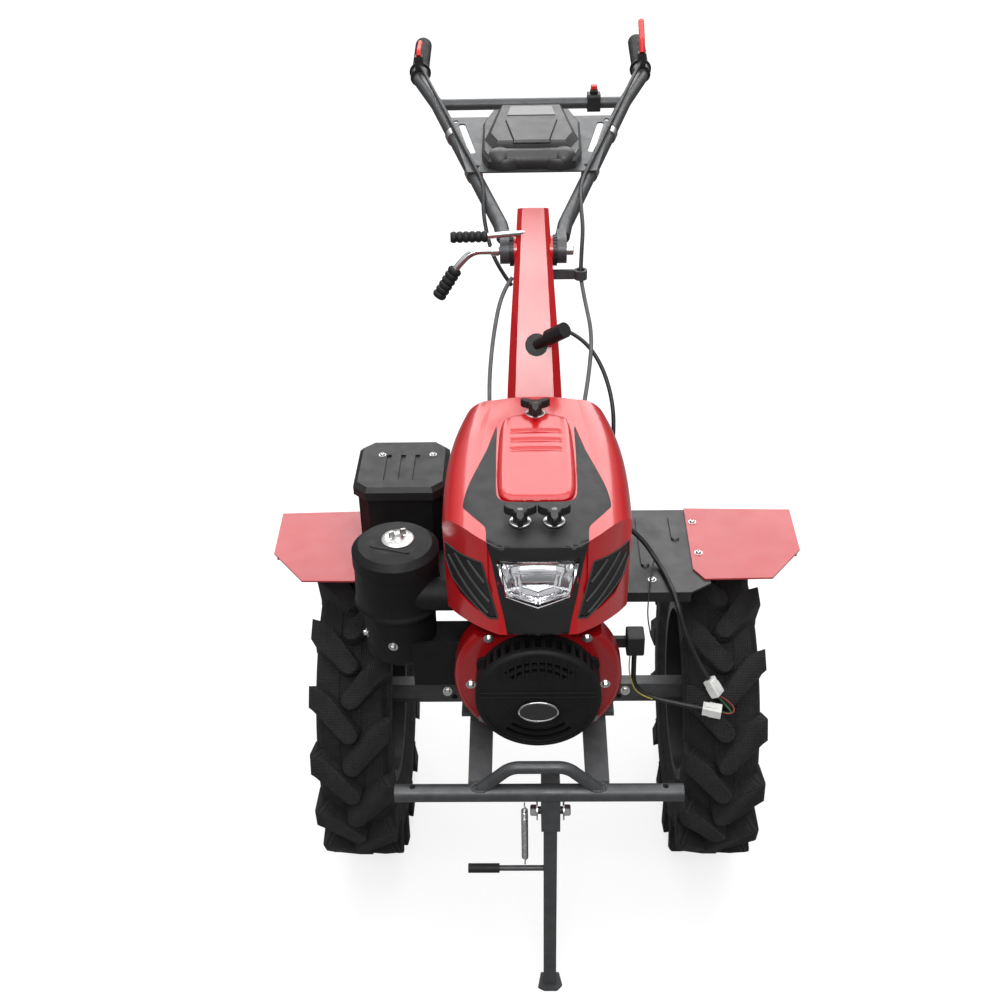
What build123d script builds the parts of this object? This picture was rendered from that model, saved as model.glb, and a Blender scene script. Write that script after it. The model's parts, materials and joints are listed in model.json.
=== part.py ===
from build123d import *
import os
from math import cos, radians, sin, sqrt, tan

# Petrol walking tractor with two driven wheels, a tilting handlebar and a folding front stand.
# Millimetres, +Z up, the front faces -Y. Lengths along Y are measured from the wheel axle here and
# every piece is moved at the end, so that the origin lies on the floor in the middle of the outer box.

# Wheels
TYRE_R = 297.0
AXLE_Z = TYRE_R
TYRE_WIDTH = 134.0
WHEEL_X = 308.0
LUG_COUNT = 16
LUG_HEIGHT = 24.0
TYRE_WALL = 13.0
RIM_SEAT_R = 152.0
RIM_HALF = 46.0
RIM_WALL = 4.0
FIT = 0.2
SLEEVE_FLATS = 42.0
SLEEVE_START_X = 136.0
AXLE_FLATS = 30.0
JOURNAL_R = 17.5
JOURNAL_FIT = 0.08
FLANGE_R = 62.0
FLANGE_THICK = 8.0
DISC_THICK = 5.0
PIN_HOLE_R = 5.5

# Gear case and hitch
CASE_HALF = 60.0
CASE_R = 82.0
CASE_FRONT_Y = -85.0
CASE_REAR_Y = 100.0
CASE_TOP_Z = 690.0
CASE_BOSS_X = 78.0
HITCH_Y = 190.0
HITCH_Z = 330.0
HITCH_HALF = 40.0
HITCH_BORE_R = 11.0
HITCH_PLATE = 12.0

# Engine
CRANK_Z = 614.0
ENGINE_REAR_Y = -125.0
ENGINE_FRONT_Y = -300.0
ENGINE_HALF = 115.0
ENGINE_BASE_Z = 508.5
ENGINE_TOP_Z = 690.0
CLUTCH_R = 104.0
FAN_COVER_R = 126.0
FAN_COVER_FRONT_Y = -340.0
RECOIL_R = 93.0
RECOIL_FRONT_Y = -385.0

# Front frame
RAIL_X = 89.0
RAIL_WIDTH = 35.0
RAIL_HEIGHT = 42.0
BUMPER_Y = -425.0
BUMPER_Z = 467.0
BUMPER_R = 13.5
BUMPER_LENGTH = 434.0
BUMPER_HOLE_INSET = 27.0
BUMPER_HOLE_X = BUMPER_LENGTH / 2 - BUMPER_HOLE_INSET
BUMPER_HOLE_R = 4.5
HOOP_R = 9.5
HOOP_HALF = 92.0
HOOP_TOP_HALF = 42.0
HOOP_TOP_Z = 529.0
RAIL_TOP_Z = 500.5
RAIL_BOTTOM_Z = RAIL_TOP_Z - RAIL_HEIGHT
RAIL_FRONT_Z = BUMPER_Z + BUMPER_R - 1
PLATE_HALF = 120.0

# Front stand
STAND_X = 18.0
STAND_PIVOT_Y = -402.0
STAND_PIVOT_Z = 405.0
STAND_FOOT_Y = -415.0
STAND_PIN_R = 6.0
LEG_WIDTH = 21.0
BRACKET_INNER = 23.0
BRACKET_WALL = 3.0
PEDAL_Z = 278.0
PEDAL_END_X = -113.0
PEDAL_R = 4.5
SPRING_X = -22.0
SPRING_R = 5.5

# Hood
HOOD_REAR_Y = 20.0
HOOD_BROW_Y = -355.0
HOOD_NOSE_Y = -378.0
HOOD_WALL = 3.0
PANEL_DEPTH = 2.4
PANEL_STEP = 1.0
GROOVE_DEPTH = 1.2
GROOVE_Y = (-80.0, -104.0, -128.0)
HOOD_TOP_REAR_Z = 902.0
HOOD_SLOPE = 0.088
KNOB_FRONT_Y = -300.0
KNOB_FRONT_X = 24.0
KNOB_REAR_Y = -30.0

# Air filter, battery box and fenders
FILTER_X = -215.0
FILTER_Y = -212.0
FILTER_R = 66.5
FILTER_TOP_Z = 782.0
FILTER_BEAD_Z = 677.0
FILTER_BOTTOM_Z = 575.0
DUCT_R = 26.0
DUCT_Y = -244.0
DUCT_Z = 706.0
FENDER_Z = 640.0
FENDER_THICK = 3.0
FENDER_INNER_X = 130.0
FENDER_FRONT_Y = -162.0
FENDER_REAR_Y = 77.0
FLAP_OUTER_X = 445.0
FLAP_INNER_X = 261.0
BATTERY_X = -222.0
BATTERY_Y = 20.0
BATTERY_TOP_Z = 777.0

# Column and handlebar
COLUMN_BASE_Y = 55.0
COLUMN_TIP_Y = 275.0
COLUMN_TIP_Z = 1122.0
COLUMN_WALL = 4.0
PIVOT_Y = 244.0
PIVOT_Z = 1062.0
PIVOT_R = 7.0
PIVOT_FIT = 0.08
DISC_X = 33.0
DISC_WIDTH = 7.0
DISC_R = 26.0
SEAT_GAP = 0.3
TUBE_R = 13.0
TUBE_WALL = 2.5
# Share of the first straight run that stays solid behind the eye
TUBE_PLUG = 0.5
CLAMP_R = TUBE_R + 2.5
TUBE_BENDS = [40, 150, 60]
EYE_WIDTH = 16.0
EYE_R = 22.0
EYE_REACH = 40.0
EYE_X = DISC_X + DISC_WIDTH + SEAT_GAP + EYE_WIDTH / 2
GRIP_R = 17.0
GRIP_FRONT_Y = 902.0
GRIP_END_Y = 1052.0
GRIP_END_Z = 1215.0
GRIP_X = 230.0
CROSS_Y = 773.0
CROSS_Z = 1162.0
CROSS_HALF = 188.0
CROSS_R = 11.0
COVER_WALL = 3.0
SHIFT_Z = PIVOT_Z + 35
BRACKET_RING_X = 80.0
BRACKET_RING_Y = 225.0
BRACKET_RING_Z = 1026.0
SWITCH_X = 126.0
CABLE_R = 3.5
LEAD_R = 4.0

ORIGIN_Y = (BUMPER_Y - BUMPER_R + GRIP_END_Y) / 2


def block(x0, x1, y0, y1, z0, z1):
    """Box between two limits on each axis."""
    return Pos((x0 + x1) / 2, (y0 + y1) / 2, (z0 + z1) / 2) * Box(x1 - x0, y1 - y0, z1 - z0)


def rod(start, end, radius):
    """Round bar between two points."""
    run = Vector(*end) - Vector(*start)
    base = (Align.CENTER, Align.CENTER, Align.MIN)
    return Plane(origin=start, z_dir=run) * Cylinder(radius, run.length, align=base)


def outline(points):
    """Flat face with straight sides."""
    return make_face(Polyline(*points, close=True))


def side_slab(face, x0, x1):
    """Face drawn as (Y, Z), carried from x0 to x1."""
    return extrude(Plane.YZ.offset(x0) * face, x1 - x0, dir=(1, 0, 0))


def front_slab(face, y0, y1):
    """Face drawn as (X, Z), carried from y0 to y1."""
    return extrude(Plane.XZ.offset(-y0) * face, y1 - y0, dir=(0, 1, 0))


def top_slab(face, z0, z1):
    """Face drawn as (X, Y), carried from z0 to z1."""
    return extrude(Plane.XY.offset(z0) * face, z1 - z0, dir=(0, 0, 1))


def both_sides(shape):
    """A shape and its mirror image across the middle plane."""
    return Compound(children=[Part(s.wrapped) for s in shape.solids()]
                    + [Part(s.wrapped) for s in mirror(shape, Plane.YZ).solids()])


def bend_radii(points):
    """Widest arc that each corner of a run of points has room for."""
    radii = []
    for before, corner, after in zip(points, points[1:], points[2:]):
        run_in = Vector(*corner) - Vector(*before)
        run_out = Vector(*after) - Vector(*corner)
        turn = radians(run_in.get_angle(run_out))
        radii.append(0.45 * min(run_in.length, run_out.length) / tan(turn / 2))
    return radii


def tube(points, radius, bends=None, wall=None):
    """Round section, hollow where a wall is given, swept along a run of points with rounded corners."""
    path = FilletPolyline(*points, radius=bends if bends else bend_radii(points))
    section = Circle(radius) - Circle(radius - wall) if wall else Circle(radius)
    return sweep(Plane(origin=path @ 0, z_dir=path % 0) * section, path=path)


def hexagon(flats):
    return RegularPolygon(flats / 2, 6, major_radius=False)


def save(name, shape):
    export_step(Pos(0, -ORIGIN_Y, 0) * shape, f"parts/{name}.step")


# Wheels, drawn round the X axis with the outer side at +X

def facet_ring(profile, count):
    """Closed ring round the X axis, in flat facets, from a profile of (x, radius) points."""
    faces = []
    for step in range(count):
        turns = [radians(360 * (step + k) / count) for k in (0, 1)]
        for (x0, r0), (x1, r1) in zip(profile, profile[1:] + profile[:1]):
            corners = [(x0, r0, turns[0]), (x1, r1, turns[0]), (x1, r1, turns[1]), (x0, r0, turns[1])]
            faces.append(Face(Wire.make_polygon([(x, r * sin(t), r * cos(t)) for x, r, t in corners])))
    return Solid(Shell(faces))


def tyre():
    """Carcass open towards the rim, with staggered tread bars on both sides of the middle line."""
    half = TYRE_WIDTH / 2
    crown_r = TYRE_R - LUG_HEIGHT
    bead_r = (RIM_SEAT_R + FIT) / cos(radians(90 / LUG_COUNT))
    outside = [(RIM_HALF, bead_r), (RIM_HALF, bead_r + 20), (half - 6, bead_r + 52),
               (half - 4, crown_r - 40),
               (half - 9, crown_r - 13), (half - 30, crown_r - 4)]
    inside = [(half - 24, crown_r - 4 - TYRE_WALL), (half - 6 - TYRE_WALL, crown_r - 40),
              (half - 8 - TYRE_WALL, bead_r + 54), (RIM_HALF - TYRE_WALL, bead_r + 22),
              (RIM_HALF - TYRE_WALL, bead_r)]
    profile = outside + [(-x, r) for x, r in reversed(outside)]
    profile += [(-x, r) for x, r in reversed(inside)] + inside
    carcass = facet_ring(profile, 2 * LUG_COUNT)
    bars = []
    for step in range(LUG_COUNT):
        turn = 360 * step / LUG_COUNT
        bars.append(Rot(X=turn) * lug())
        bars.append(Rot(X=turn + 180 / LUG_COUNT) * mirror(lug(), Plane.YZ))
    return carcass.fuse(*bars)


def lug():
    """One tread bar at the top of the tyre: head past the middle line, tail at the +X shoulder."""
    half = TYRE_WIDTH / 2
    points = [(-9, -30), (-7, -46), (8, -49), (half - 22, 4), (half, 14), (half, 42), (half - 18, 34),
              (2, -20)]
    reach = max(abs(y) for _, y in points)
    tip = sqrt(TYRE_R ** 2 - reach ** 2)
    root = tip - LUG_HEIGHT - 7
    return top_slab(outline(points), root, tip)


def rim():
    outer = [(-RIM_HALF - 4, 167), (-RIM_HALF - FIT, 167), (-RIM_HALF - FIT, RIM_SEAT_R),
             (-24, RIM_SEAT_R),
             (-14, 136), (14, 136), (24, RIM_SEAT_R), (RIM_HALF + FIT, RIM_SEAT_R), (RIM_HALF + FIT, 167),
             (RIM_HALF + 4, 167)]
    inner = [(RIM_HALF + 4, RIM_SEAT_R - RIM_WALL), (22, RIM_SEAT_R - RIM_WALL), (12, 136 - RIM_WALL),
             (-12, 136 - RIM_WALL), (-22, RIM_SEAT_R - RIM_WALL), (-RIM_HALF - 4, RIM_SEAT_R - RIM_WALL)]
    barrel = revolve(outline(outer + inner), Axis.X)
    dish = [(0, 30), (DISC_THICK, 30), (DISC_THICK, 78), (DISC_THICK + 12, 100), (DISC_THICK + 12, 120),
            (DISC_THICK, 133), (0, 133), (12, 118), (12, 102), (0, 80)]
    disc = revolve(outline(dish), Axis.X)
    windows = [Rot(X=72 * k + 36) * Pos(0, 0, 108) * Rot(Y=90) * Cylinder(11, 60) for k in range(5)]
    holes = [Rot(X=72 * k) * Pos(0, 0, 50) * Rot(Y=90) * Cylinder(9 + FIT, 60) for k in range(5)]
    return (barrel + disc) - windows - holes


def hub():
    """Hexagon sleeve with the flange that the wheel disc is bolted to."""
    start = SLEEVE_START_X - WHEEL_X
    sleeve = side_slab(hexagon(SLEEVE_FLATS), start, 0)
    flange = side_slab(Circle(FLANGE_R), -FLANGE_THICK, 0)
    spigot = side_slab(Circle(30 - FIT), 0, DISC_THICK + 14)
    base = (Align.CENTER, Align.CENTER, Align.MIN)
    studs = [Rot(X=72 * k) * Pos(0, 0, 50) * Rot(Y=90) * Cylinder(9, DISC_THICK + 9,
                                                                  align=base) for k in range(5)]
    bore = side_slab(hexagon(AXLE_FLATS + 2 * FIT), start, DISC_THICK + 8)
    pin_hole = Pos(start + 15, 0, 0) * Rot(X=90) * Cylinder(PIN_HOLE_R, 2 * SLEEVE_FLATS)
    return (sleeve + flange + spigot + studs) - bore - pin_hole


def axle():
    """Hexagon drive shaft, its round journal running in the gear case."""
    shaft = side_slab(hexagon(AXLE_FLATS), CASE_BOSS_X + 2 - WHEEL_X, 0)
    journal = side_slab(Circle(JOURNAL_R), CASE_BOSS_X - 40 - WHEEL_X, CASE_BOSS_X + 2 - WHEEL_X)
    pin = Pos(SLEEVE_START_X + 15 - WHEEL_X, 0, 0) * Rot(X=90) * Cylinder(PIN_HOLE_R, 2 * SLEEVE_FLATS)
    return (shaft + journal) - pin


def wheel_place(shape, side):
    """Carry a wheel piece to its own side; the tread keeps its direction."""
    turned = shape if side > 0 else mirror(shape, Plane.YZ)
    return Pos(side * WHEEL_X, 0, AXLE_Z) * turned


# Drive and engine

def gear_case():
    body = side_slab(outline([(CASE_FRONT_Y, AXLE_Z + 20), (CASE_FRONT_Y, CASE_TOP_Z),
                              (CASE_REAR_Y - 10, CASE_TOP_Z),
                              (CASE_REAR_Y, CASE_TOP_Z - 60), (CASE_REAR_Y, AXLE_Z + 60),
                              (CASE_R - 4, AXLE_Z)]),
                     -CASE_HALF, CASE_HALF)
    barrel = Pos(0, 0, AXLE_Z) * side_slab(Circle(CASE_R), -CASE_HALF - 6, CASE_HALF + 6)
    bosses = Pos(0, 0, AXLE_Z) * side_slab(Circle(44), -CASE_BOSS_X, CASE_BOSS_X)
    cover = rod((0, CASE_REAR_Y, 520), (0, CASE_REAR_Y + 12, 520), 50)
    ribs = block(-CASE_HALF - 5, CASE_HALF + 5, -6, 6, AXLE_Z + 60, FENDER_Z - 70)
    plug = rod((0, -30, AXLE_Z - CASE_R - 5), (0, -30, AXLE_Z - CASE_R + 20), 12)
    bore = Pos(0, 0, AXLE_Z) * side_slab(Circle(JOURNAL_R + JOURNAL_FIT), CASE_BOSS_X - 42, CASE_BOSS_X)
    return (body + barrel + bosses + cover + ribs + plug) - bore - mirror(bore, Plane.YZ)


def clutch_housing():
    """Round housing between the engine and the gear case."""
    flange = rod((0, ENGINE_REAR_Y, CRANK_Z), (0, ENGINE_REAR_Y + 8, CRANK_Z), CLUTCH_R)
    drum = rod((0, ENGINE_REAR_Y, CRANK_Z), (0, CASE_FRONT_Y, CRANK_Z), CLUTCH_R - 12)
    return (flange + drum) & block(-200, 200, -200, 0, RAIL_TOP_Z + 12, CASE_TOP_Z + 12)


def hitch_bracket():
    """Rear fork for drawn tools, with an upright pin bore."""
    top = HITCH_Z + 30
    bottom = HITCH_Z - 30
    back = block(-HITCH_HALF, HITCH_HALF, CASE_REAR_Y, CASE_REAR_Y + 14, bottom + 40, top + 90)
    arms = block(-HITCH_HALF, HITCH_HALF, CASE_REAR_Y, HITCH_Y, bottom, top)
    arms += rod((0, HITCH_Y, bottom), (0, HITCH_Y, top), HITCH_HALF)
    gap = block(-HITCH_HALF - 1, HITCH_HALF + 1, CASE_REAR_Y + 34, HITCH_Y + HITCH_HALF + 1,
                bottom + HITCH_PLATE, top - HITCH_PLATE)
    pin = rod((0, HITCH_Y, bottom - 1), (0, HITCH_Y, top + 1), HITCH_BORE_R)
    return (back + arms) - gap - pin


def engine_block():
    """Crankcase on its feet with the leaning finned cylinder and its head."""
    case = block(-ENGINE_HALF + 15, ENGINE_HALF - 15, ENGINE_FRONT_Y, ENGINE_REAR_Y, ENGINE_BASE_Z + 14,
                 ENGINE_TOP_Z)
    case = fillet(case.edges().filter_by(Axis.Y), 16)
    feet = block(-ENGINE_HALF, ENGINE_HALF, ENGINE_FRONT_Y + 25, ENGINE_REAR_Y - 10, ENGINE_BASE_Z,
                 ENGINE_BASE_Z + 16)
    lean = Plane(origin=(0, -169, CRANK_Z), x_dir=(0, 1, 0), z_dir=(-0.82, 0, 0.572))
    core = lean * Pos(0, 0, 90) * Box(66, 84, 70)
    fins = [lean * Pos(0, 0, 80 + 11 * k) * Box(76, 98, 4) for k in range(5)]
    head = lean * Pos(0, 0, 132) * Box(70, 90, 16)
    filler = rod((60, -262, ENGINE_BASE_Z + 40), (96, -282, ENGINE_BASE_Z + 66), 14)
    return case + feet + core + fins + head + filler


def fan_cover():
    """Round shroud round the flywheel, flat on top under the hood."""
    cup = rod((0, FAN_COVER_FRONT_Y, CRANK_Z), (0, ENGINE_FRONT_Y, CRANK_Z), FAN_COVER_R)
    cup = fillet(cup.edges().sort_by(Axis.Y)[0], 12)
    keep = block(-200, 200, -500, 0, CRANK_Z - FAN_COVER_R - 1, CRANK_Z + 84)
    boss = rod((0, FAN_COVER_FRONT_Y - 1, CRANK_Z), (0, FAN_COVER_FRONT_Y, CRANK_Z), RECOIL_R + 6)
    drain = rod((6, FAN_COVER_FRONT_Y + 20, CRANK_Z - FAN_COVER_R - 6),
                (6, FAN_COVER_FRONT_Y + 20, CRANK_Z - FAN_COVER_R + 10), 8)
    return (cup & keep) + boss + drain


def recoil_starter():
    """Pull starter: slotted wall above, curved louvres in the face, plain oval boss for a plate."""
    back_y = FAN_COVER_FRONT_Y - 1
    depth = back_y - RECOIL_FRONT_Y
    centre = Pos(0, RECOIL_FRONT_Y, CRANK_Z) * Rot(X=-90)
    base = (Align.CENTER, Align.CENTER, Align.MIN)
    cup = Cylinder(RECOIL_R, depth, align=base)
    cup = fillet(cup.edges().sort_by(Axis.Z)[0], 7)
    hollow = Pos(0, 0, 5) * Cylinder(RECOIL_R - 5, depth - 8, align=base)
    shell = cup - hollow
    for k in range(-6, 7):
        shell -= Rot(Z=-90 + 9.5 * k) * block(RECOIL_R - 14, RECOIL_R + 6, -4.2, 4.2, 12, depth - 8)
    for radius in (74, 62):
        ring = Circle(radius) - Circle(radius - 6)
        for middle in (-90, 90):
            wedge = outline([(0, 0), (160 * cos(radians(middle - 42)), 160 * sin(radians(middle - 42))),
                             (160 * cos(radians(middle + 42)), 160 * sin(radians(middle + 42)))])
            shell -= extrude(ring & wedge, 6)
    core = Pos(0, 0, 5) * Cylinder(30, depth - 5, align=base)
    boss = Pos(0, 18, -3) * extrude(Ellipse(30, 19), 4)
    ears = [Pos(86 * cos(radians(a)), 86 * sin(radians(a)), depth - 8) * Cylinder(13, 8, align=base)
            for a in (25, 155, 205, 335)]
    return centre * (shell + core + boss + ears)


def muffler():
    can = block(40, 112, -290, -140, ENGINE_TOP_Z, ENGINE_TOP_Z + 40)
    can = fillet(can.edges().filter_by(Axis.Y), 15)
    return can + rod((76, -140, ENGINE_TOP_Z + 20), (76, -112, ENGINE_TOP_Z + 20), 12)


def carburettor():
    body = block(-112, -62, DUCT_Y - 24, DUCT_Y + 24, ENGINE_TOP_Z, ENGINE_TOP_Z + 34)
    throat = rod((-118, DUCT_Y, DUCT_Z), (-112, DUCT_Y, DUCT_Z), DUCT_R - 4)
    return body + (throat & block(-130, 0, -300, 0, ENGINE_TOP_Z, 800))


def fuel_tank():
    tank = block(-104, 104, -232, -4, 745, 850)
    tank = fillet(tank.edges(), 14)
    return tank + block(-10, 34, -215, -135, ENGINE_TOP_Z, 760)


# Air filter

def air_filter_body():
    """Canister with a bead at the joint, the lower bowl and the duct to the carburettor."""
    steps = [(0, FILTER_BOTTOM_Z), (46, FILTER_BOTTOM_Z), (56, FILTER_BOTTOM_Z + 12),
             (56, FILTER_BEAD_Z - 8),
             (FILTER_R, FILTER_BEAD_Z - 6), (FILTER_R + 2.5, FILTER_BEAD_Z),
             (FILTER_R, FILTER_BEAD_Z + 6),
             (FILTER_R - 2, FILTER_TOP_Z - 34), (0, FILTER_TOP_Z - 34)]
    can = revolve(Plane.XZ * outline(steps), Axis.Z)
    can = Pos(FILTER_X, FILTER_Y, 0) * can
    duct = rod((FILTER_X + 20, DUCT_Y, DUCT_Z), (-118, DUCT_Y, DUCT_Z), DUCT_R)
    return can + duct


def air_filter_lid():
    steps = [(0, FILTER_TOP_Z - 34), (FILTER_R, FILTER_TOP_Z - 34), (FILTER_R, FILTER_TOP_Z - 12),
             (FILTER_R - 10, FILTER_TOP_Z - 3), (FILTER_R - 30, FILTER_TOP_Z), (0, FILTER_TOP_Z)]
    return Pos(FILTER_X, FILTER_Y, 0) * revolve(Plane.XZ * outline(steps), Axis.Z)


def air_filter_nut():
    dome = revolve(Plane.XZ * outline([(0, FILTER_TOP_Z), (20, FILTER_TOP_Z), (17, FILTER_TOP_Z + 4),
                                       (7, FILTER_TOP_Z + 6), (7, FILTER_TOP_Z + 12),
                                       (0, FILTER_TOP_Z + 12)]), Axis.Z)
    wing = block(-17, 17, -2, 2, FILTER_TOP_Z + 6, FILTER_TOP_Z + 15)
    return Pos(FILTER_X + 4, FILTER_Y + 6, 0) * (dome + Rot(Z=35) * wing)


def air_filter_bracket():
    """Plate from the crankcase that carries the canister."""
    web = block(-236, -ENGINE_HALF + 15, -264, -258, 540, 625)
    arm = block(FILTER_X, -ENGINE_HALF + 15, -258, -190, 604, 610)
    bowl = Pos(FILTER_X, FILTER_Y, 0) * Cylinder(56, 2000)
    return (web + arm) - bowl


# Hood

def hood_section(y, inset):
    """Arch across the hood at one place along it."""
    top = HOOD_TOP_REAR_Z + HOOD_SLOPE * (y - HOOD_REAR_Y) - inset
    share = (HOOD_REAR_Y - y) / (HOOD_REAR_Y - HOOD_NOSE_Y)
    half = (113 + 27 * sin(radians(min(1, 2.2 * share) * 90))) - inset
    flat = 68 + 24 * min(1, 2 * share) - inset / 2
    side = top - 36 - 14 * share
    low = 640.0
    wire = [
        Line((-half + 8, low), (-half, side)),
        ThreePointArc((-half, side), (-half + 0.30 * (half - flat), side + 0.64 * (top - 6 - side)),
                      (-flat, top - 6)),
        ThreePointArc((-flat, top - 6), (0, top), (flat, top - 6)),
        ThreePointArc((flat, top - 6), (half - 0.30 * (half - flat), side + 0.64 * (top - 6 - side)),
                      (half, side)),
        Line((half, side), (half - 8, low)),
        Line((half - 8, low), (-half + 8, low)),
    ]
    return Plane.XZ.offset(-y) * make_face(wire)


def hood_solid(inset):
    """Hood form, or its inside when inset by the wall."""
    stations = (HOOD_REAR_Y + (inset and 30), -100, -230, HOOD_NOSE_Y - 12)
    arch = loft([hood_section(y, inset) for y in stations])
    nose = HOOD_NOSE_Y + inset
    plan = make_face([
        Line((-200, 100), (-200, -220 + inset)),
        Line((-200, -220 + inset), (-142 + inset, -252 + inset)),
        ThreePointArc((-142 + inset, -252 + inset), (-108 + inset / 2, -318 + inset), (-56, nose + 4)),
        ThreePointArc((-56, nose + 4), (0, nose), (56, nose + 4)),
        ThreePointArc((56, nose + 4), (108 - inset / 2, -318 + inset), (142 - inset, -252 + inset)),
        Line((142 - inset, -252 + inset), (200, -220 + inset)),
        Line((200, -220 + inset), (200, 100)),
        Line((200, 100), (-200, 100)),
    ])
    low = 640.0
    rise = 300.0
    lean = (HOOD_BROW_Y - HOOD_NOSE_Y) / 140
    shaft = extrude(Plane.XY.offset(low) * (Pos(0, -lean * 92, 0) * plan), rise, dir=(0, lean, 1))
    return arch & shaft


def hood_lower_edge():
    """Everything below the hood's lower edge."""
    return side_slab(outline([(HOOD_NOSE_Y - 60, 600), (HOOD_NOSE_Y - 60, 732), (HOOD_NOSE_Y, 732),
                              (-250, 702),
                              (-100, 712), (HOOD_REAR_Y + 60, 775), (HOOD_REAR_Y + 60, 600)]), -220, 220)


def panel_area():
    """Black panel seen from above: a U round the red middle that runs on to the nose."""
    right = [(62, -59), (88, -176), (101, -224), (100, -267), (72, -305), (70, HOOD_BROW_Y - 2)]
    inner = [(60, -170), (54, -222), (40, -240)]
    points = right + [(-x, y) for x, y in reversed(right)] + [(-x, y) for x,
                                                              y in inner] + list(reversed(inner))
    return top_slab(outline(points), 780, 960)


def nose_area():
    """Black panel on the nose, narrowing downwards."""
    return front_slab(outline([(-70, 960), (70, 960), (43, 728), (43, 690), (-43, 690), (-43, 728)]),
                      HOOD_NOSE_Y - 60, HOOD_BROW_Y + 8)


def lamp_area(grow):
    return front_slab(outline([(-58 - grow, 847 + grow), (58 + grow, 847 + grow),
                               (45 + grow, 791 - grow / 2),
                               (0, 775 - grow), (-45 - grow, 791 - grow / 2)]), HOOD_NOSE_Y - 60, -300)


def vent_area():
    """Intake opening in the right cheek, seen from the front."""
    return front_slab(outline([(131, 803), (84, 822), (66, 768), (86, 750), (112, 752), (130, 772)]),
                      HOOD_NOSE_Y - 60, -200)


def hood_parts():
    outside = hood_solid(0) - hood_lower_edge()
    inside = hood_solid(HOOD_WALL)
    skin = outside - inside
    under = hood_solid(PANEL_STEP) - hood_lower_edge()
    layer = under - hood_solid(PANEL_DEPTH)
    step = outside - under
    lamp = lamp_area(0)
    vents = [vent_area(), mirror(vent_area(), Plane.YZ)]
    studs = [rod((x, y, 700), (x, y, 980), 5) for x, y in knob_places()]
    area = panel_area() + nose_area()
    panel = (layer & area) - lamp - studs
    grooves = [block(-38, 38, y - 4, y + 4, 860,
                     960) & (outside - hood_solid(GROOVE_DEPTH)) for y in GROOVE_Y]
    relief = rod((-170, DUCT_Y, DUCT_Z), (-110, DUCT_Y, DUCT_Z), DUCT_R + 3)
    relief += block(-170, -110, DUCT_Y - DUCT_R - 3, DUCT_Y + DUCT_R + 3, DUCT_Z - 60, DUCT_Z)
    red = skin - (layer & area) - (step & area) - lamp - studs - relief - grooves
    for vent in vents:
        red -= vent
    grilles = []
    for vent in vents:
        slats = hood_solid(HOOD_WALL) - hood_solid(HOOD_WALL + 4)
        grilles.append(slats & vent)
    lens = (outside - hood_solid(2.4)) & lamp_area(-0.2)
    bowl = (hood_solid(2.6) - hood_solid(HOOD_WALL + 26)) & lamp_area(-0.2)
    return red, panel, grilles, lens, bowl


def knob_places():
    return [(-KNOB_FRONT_X, KNOB_FRONT_Y), (KNOB_FRONT_X, KNOB_FRONT_Y), (0, KNOB_REAR_Y)]


def hood_knob(x, y):
    """Three-winged hand nut on a stud that reaches the tank."""
    top = HOOD_TOP_REAR_Z + HOOD_SLOPE * (y - HOOD_REAR_Y)
    stud = rod((x, y, 850 if y > -232 else top - 24), (x, y, top + 10), 4.6)
    neck = rod((x, y, top - 8), (x, y, top + 10), 11) - hood_solid(0)
    wings = Pos(x, y, top + 10) * extrude(Circle(9), 12)
    for k in range(3):
        arm = block(0, 22, -5, 5, top + 10, top + 22)
        tip = rod((22, 0, top + 10), (22, 0, top + 22), 5)
        wings += Pos(x, y, 0) * Rot(Z=90 + 120 * k) * (arm + tip)
    return stud + neck + wings


# Fenders and battery box

def fender_plate():
    """Inner plate on the +X side, a folded front corner and two pressed slots."""
    plate = top_slab(outline([(FENDER_INNER_X, FENDER_FRONT_Y), (248, FENDER_FRONT_Y),
                              (282, FENDER_FRONT_Y + 24),
                              (282, FENDER_REAR_Y), (FENDER_INNER_X, FENDER_REAR_Y)]),
                     FENDER_Z, FENDER_Z + FENDER_THICK)
    lip = block(FENDER_INNER_X, 248, FENDER_FRONT_Y, FENDER_FRONT_Y + FENDER_THICK, FENDER_Z - 16,
                FENDER_Z)
    slots = [top_slab(Pos(205, y) * SlotOverall(90, 12), FENDER_Z + 1,
                      FENDER_Z + FENDER_THICK + 1) for y in (-60, -10)]
    return plate + lip - slots


def fender_flap():
    """Outer red flap on the +X side, bolted over the edge of the plate."""
    z = FENDER_Z + FENDER_THICK
    points = [(FLAP_INNER_X, FENDER_REAR_Y), (FLAP_OUTER_X, FENDER_REAR_Y - 6), (FLAP_OUTER_X - 4, -50),
              (FLAP_OUTER_X - 62, -128), (FLAP_INNER_X + 12, -130), (FLAP_INNER_X - 4, -102)]
    flap = top_slab(outline(points), z, z + FENDER_THICK)
    edge = block(FLAP_OUTER_X - 10, FLAP_OUTER_X - 7, -46, FENDER_REAR_Y - 10, z - 14, z)
    return flap + edge


def fender_arm():
    arm = block(CASE_HALF, 200, -20, 60, FENDER_Z - 8, FENDER_Z)
    web = side_slab(outline([(-20, FENDER_Z - 8), (60, FENDER_Z - 8), (40, FENDER_Z - 60),
                             (0, FENDER_Z - 60)]),
                    CASE_HALF, CASE_HALF + 8)
    return arm + web


def octagon(x, y, half_x, half_y, cut):
    points = [(half_x, -half_y + cut), (half_x, half_y - cut), (half_x - cut, half_y),
              (-half_x + cut, half_y),
              (-half_x, half_y - cut), (-half_x, -half_y + cut), (-half_x + cut, -half_y),
              (half_x - cut, -half_y)]
    return Pos(x, y) * outline(points)


def battery_box():
    z = FENDER_Z + FENDER_THICK
    feet = block(BATTERY_X - 34, BATTERY_X + 66, BATTERY_Y - 60, BATTERY_Y + 60, z, z + 8)
    return feet + top_slab(octagon(BATTERY_X, BATTERY_Y, 70, 72, 18), z + 8, BATTERY_TOP_Z - 22)


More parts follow.
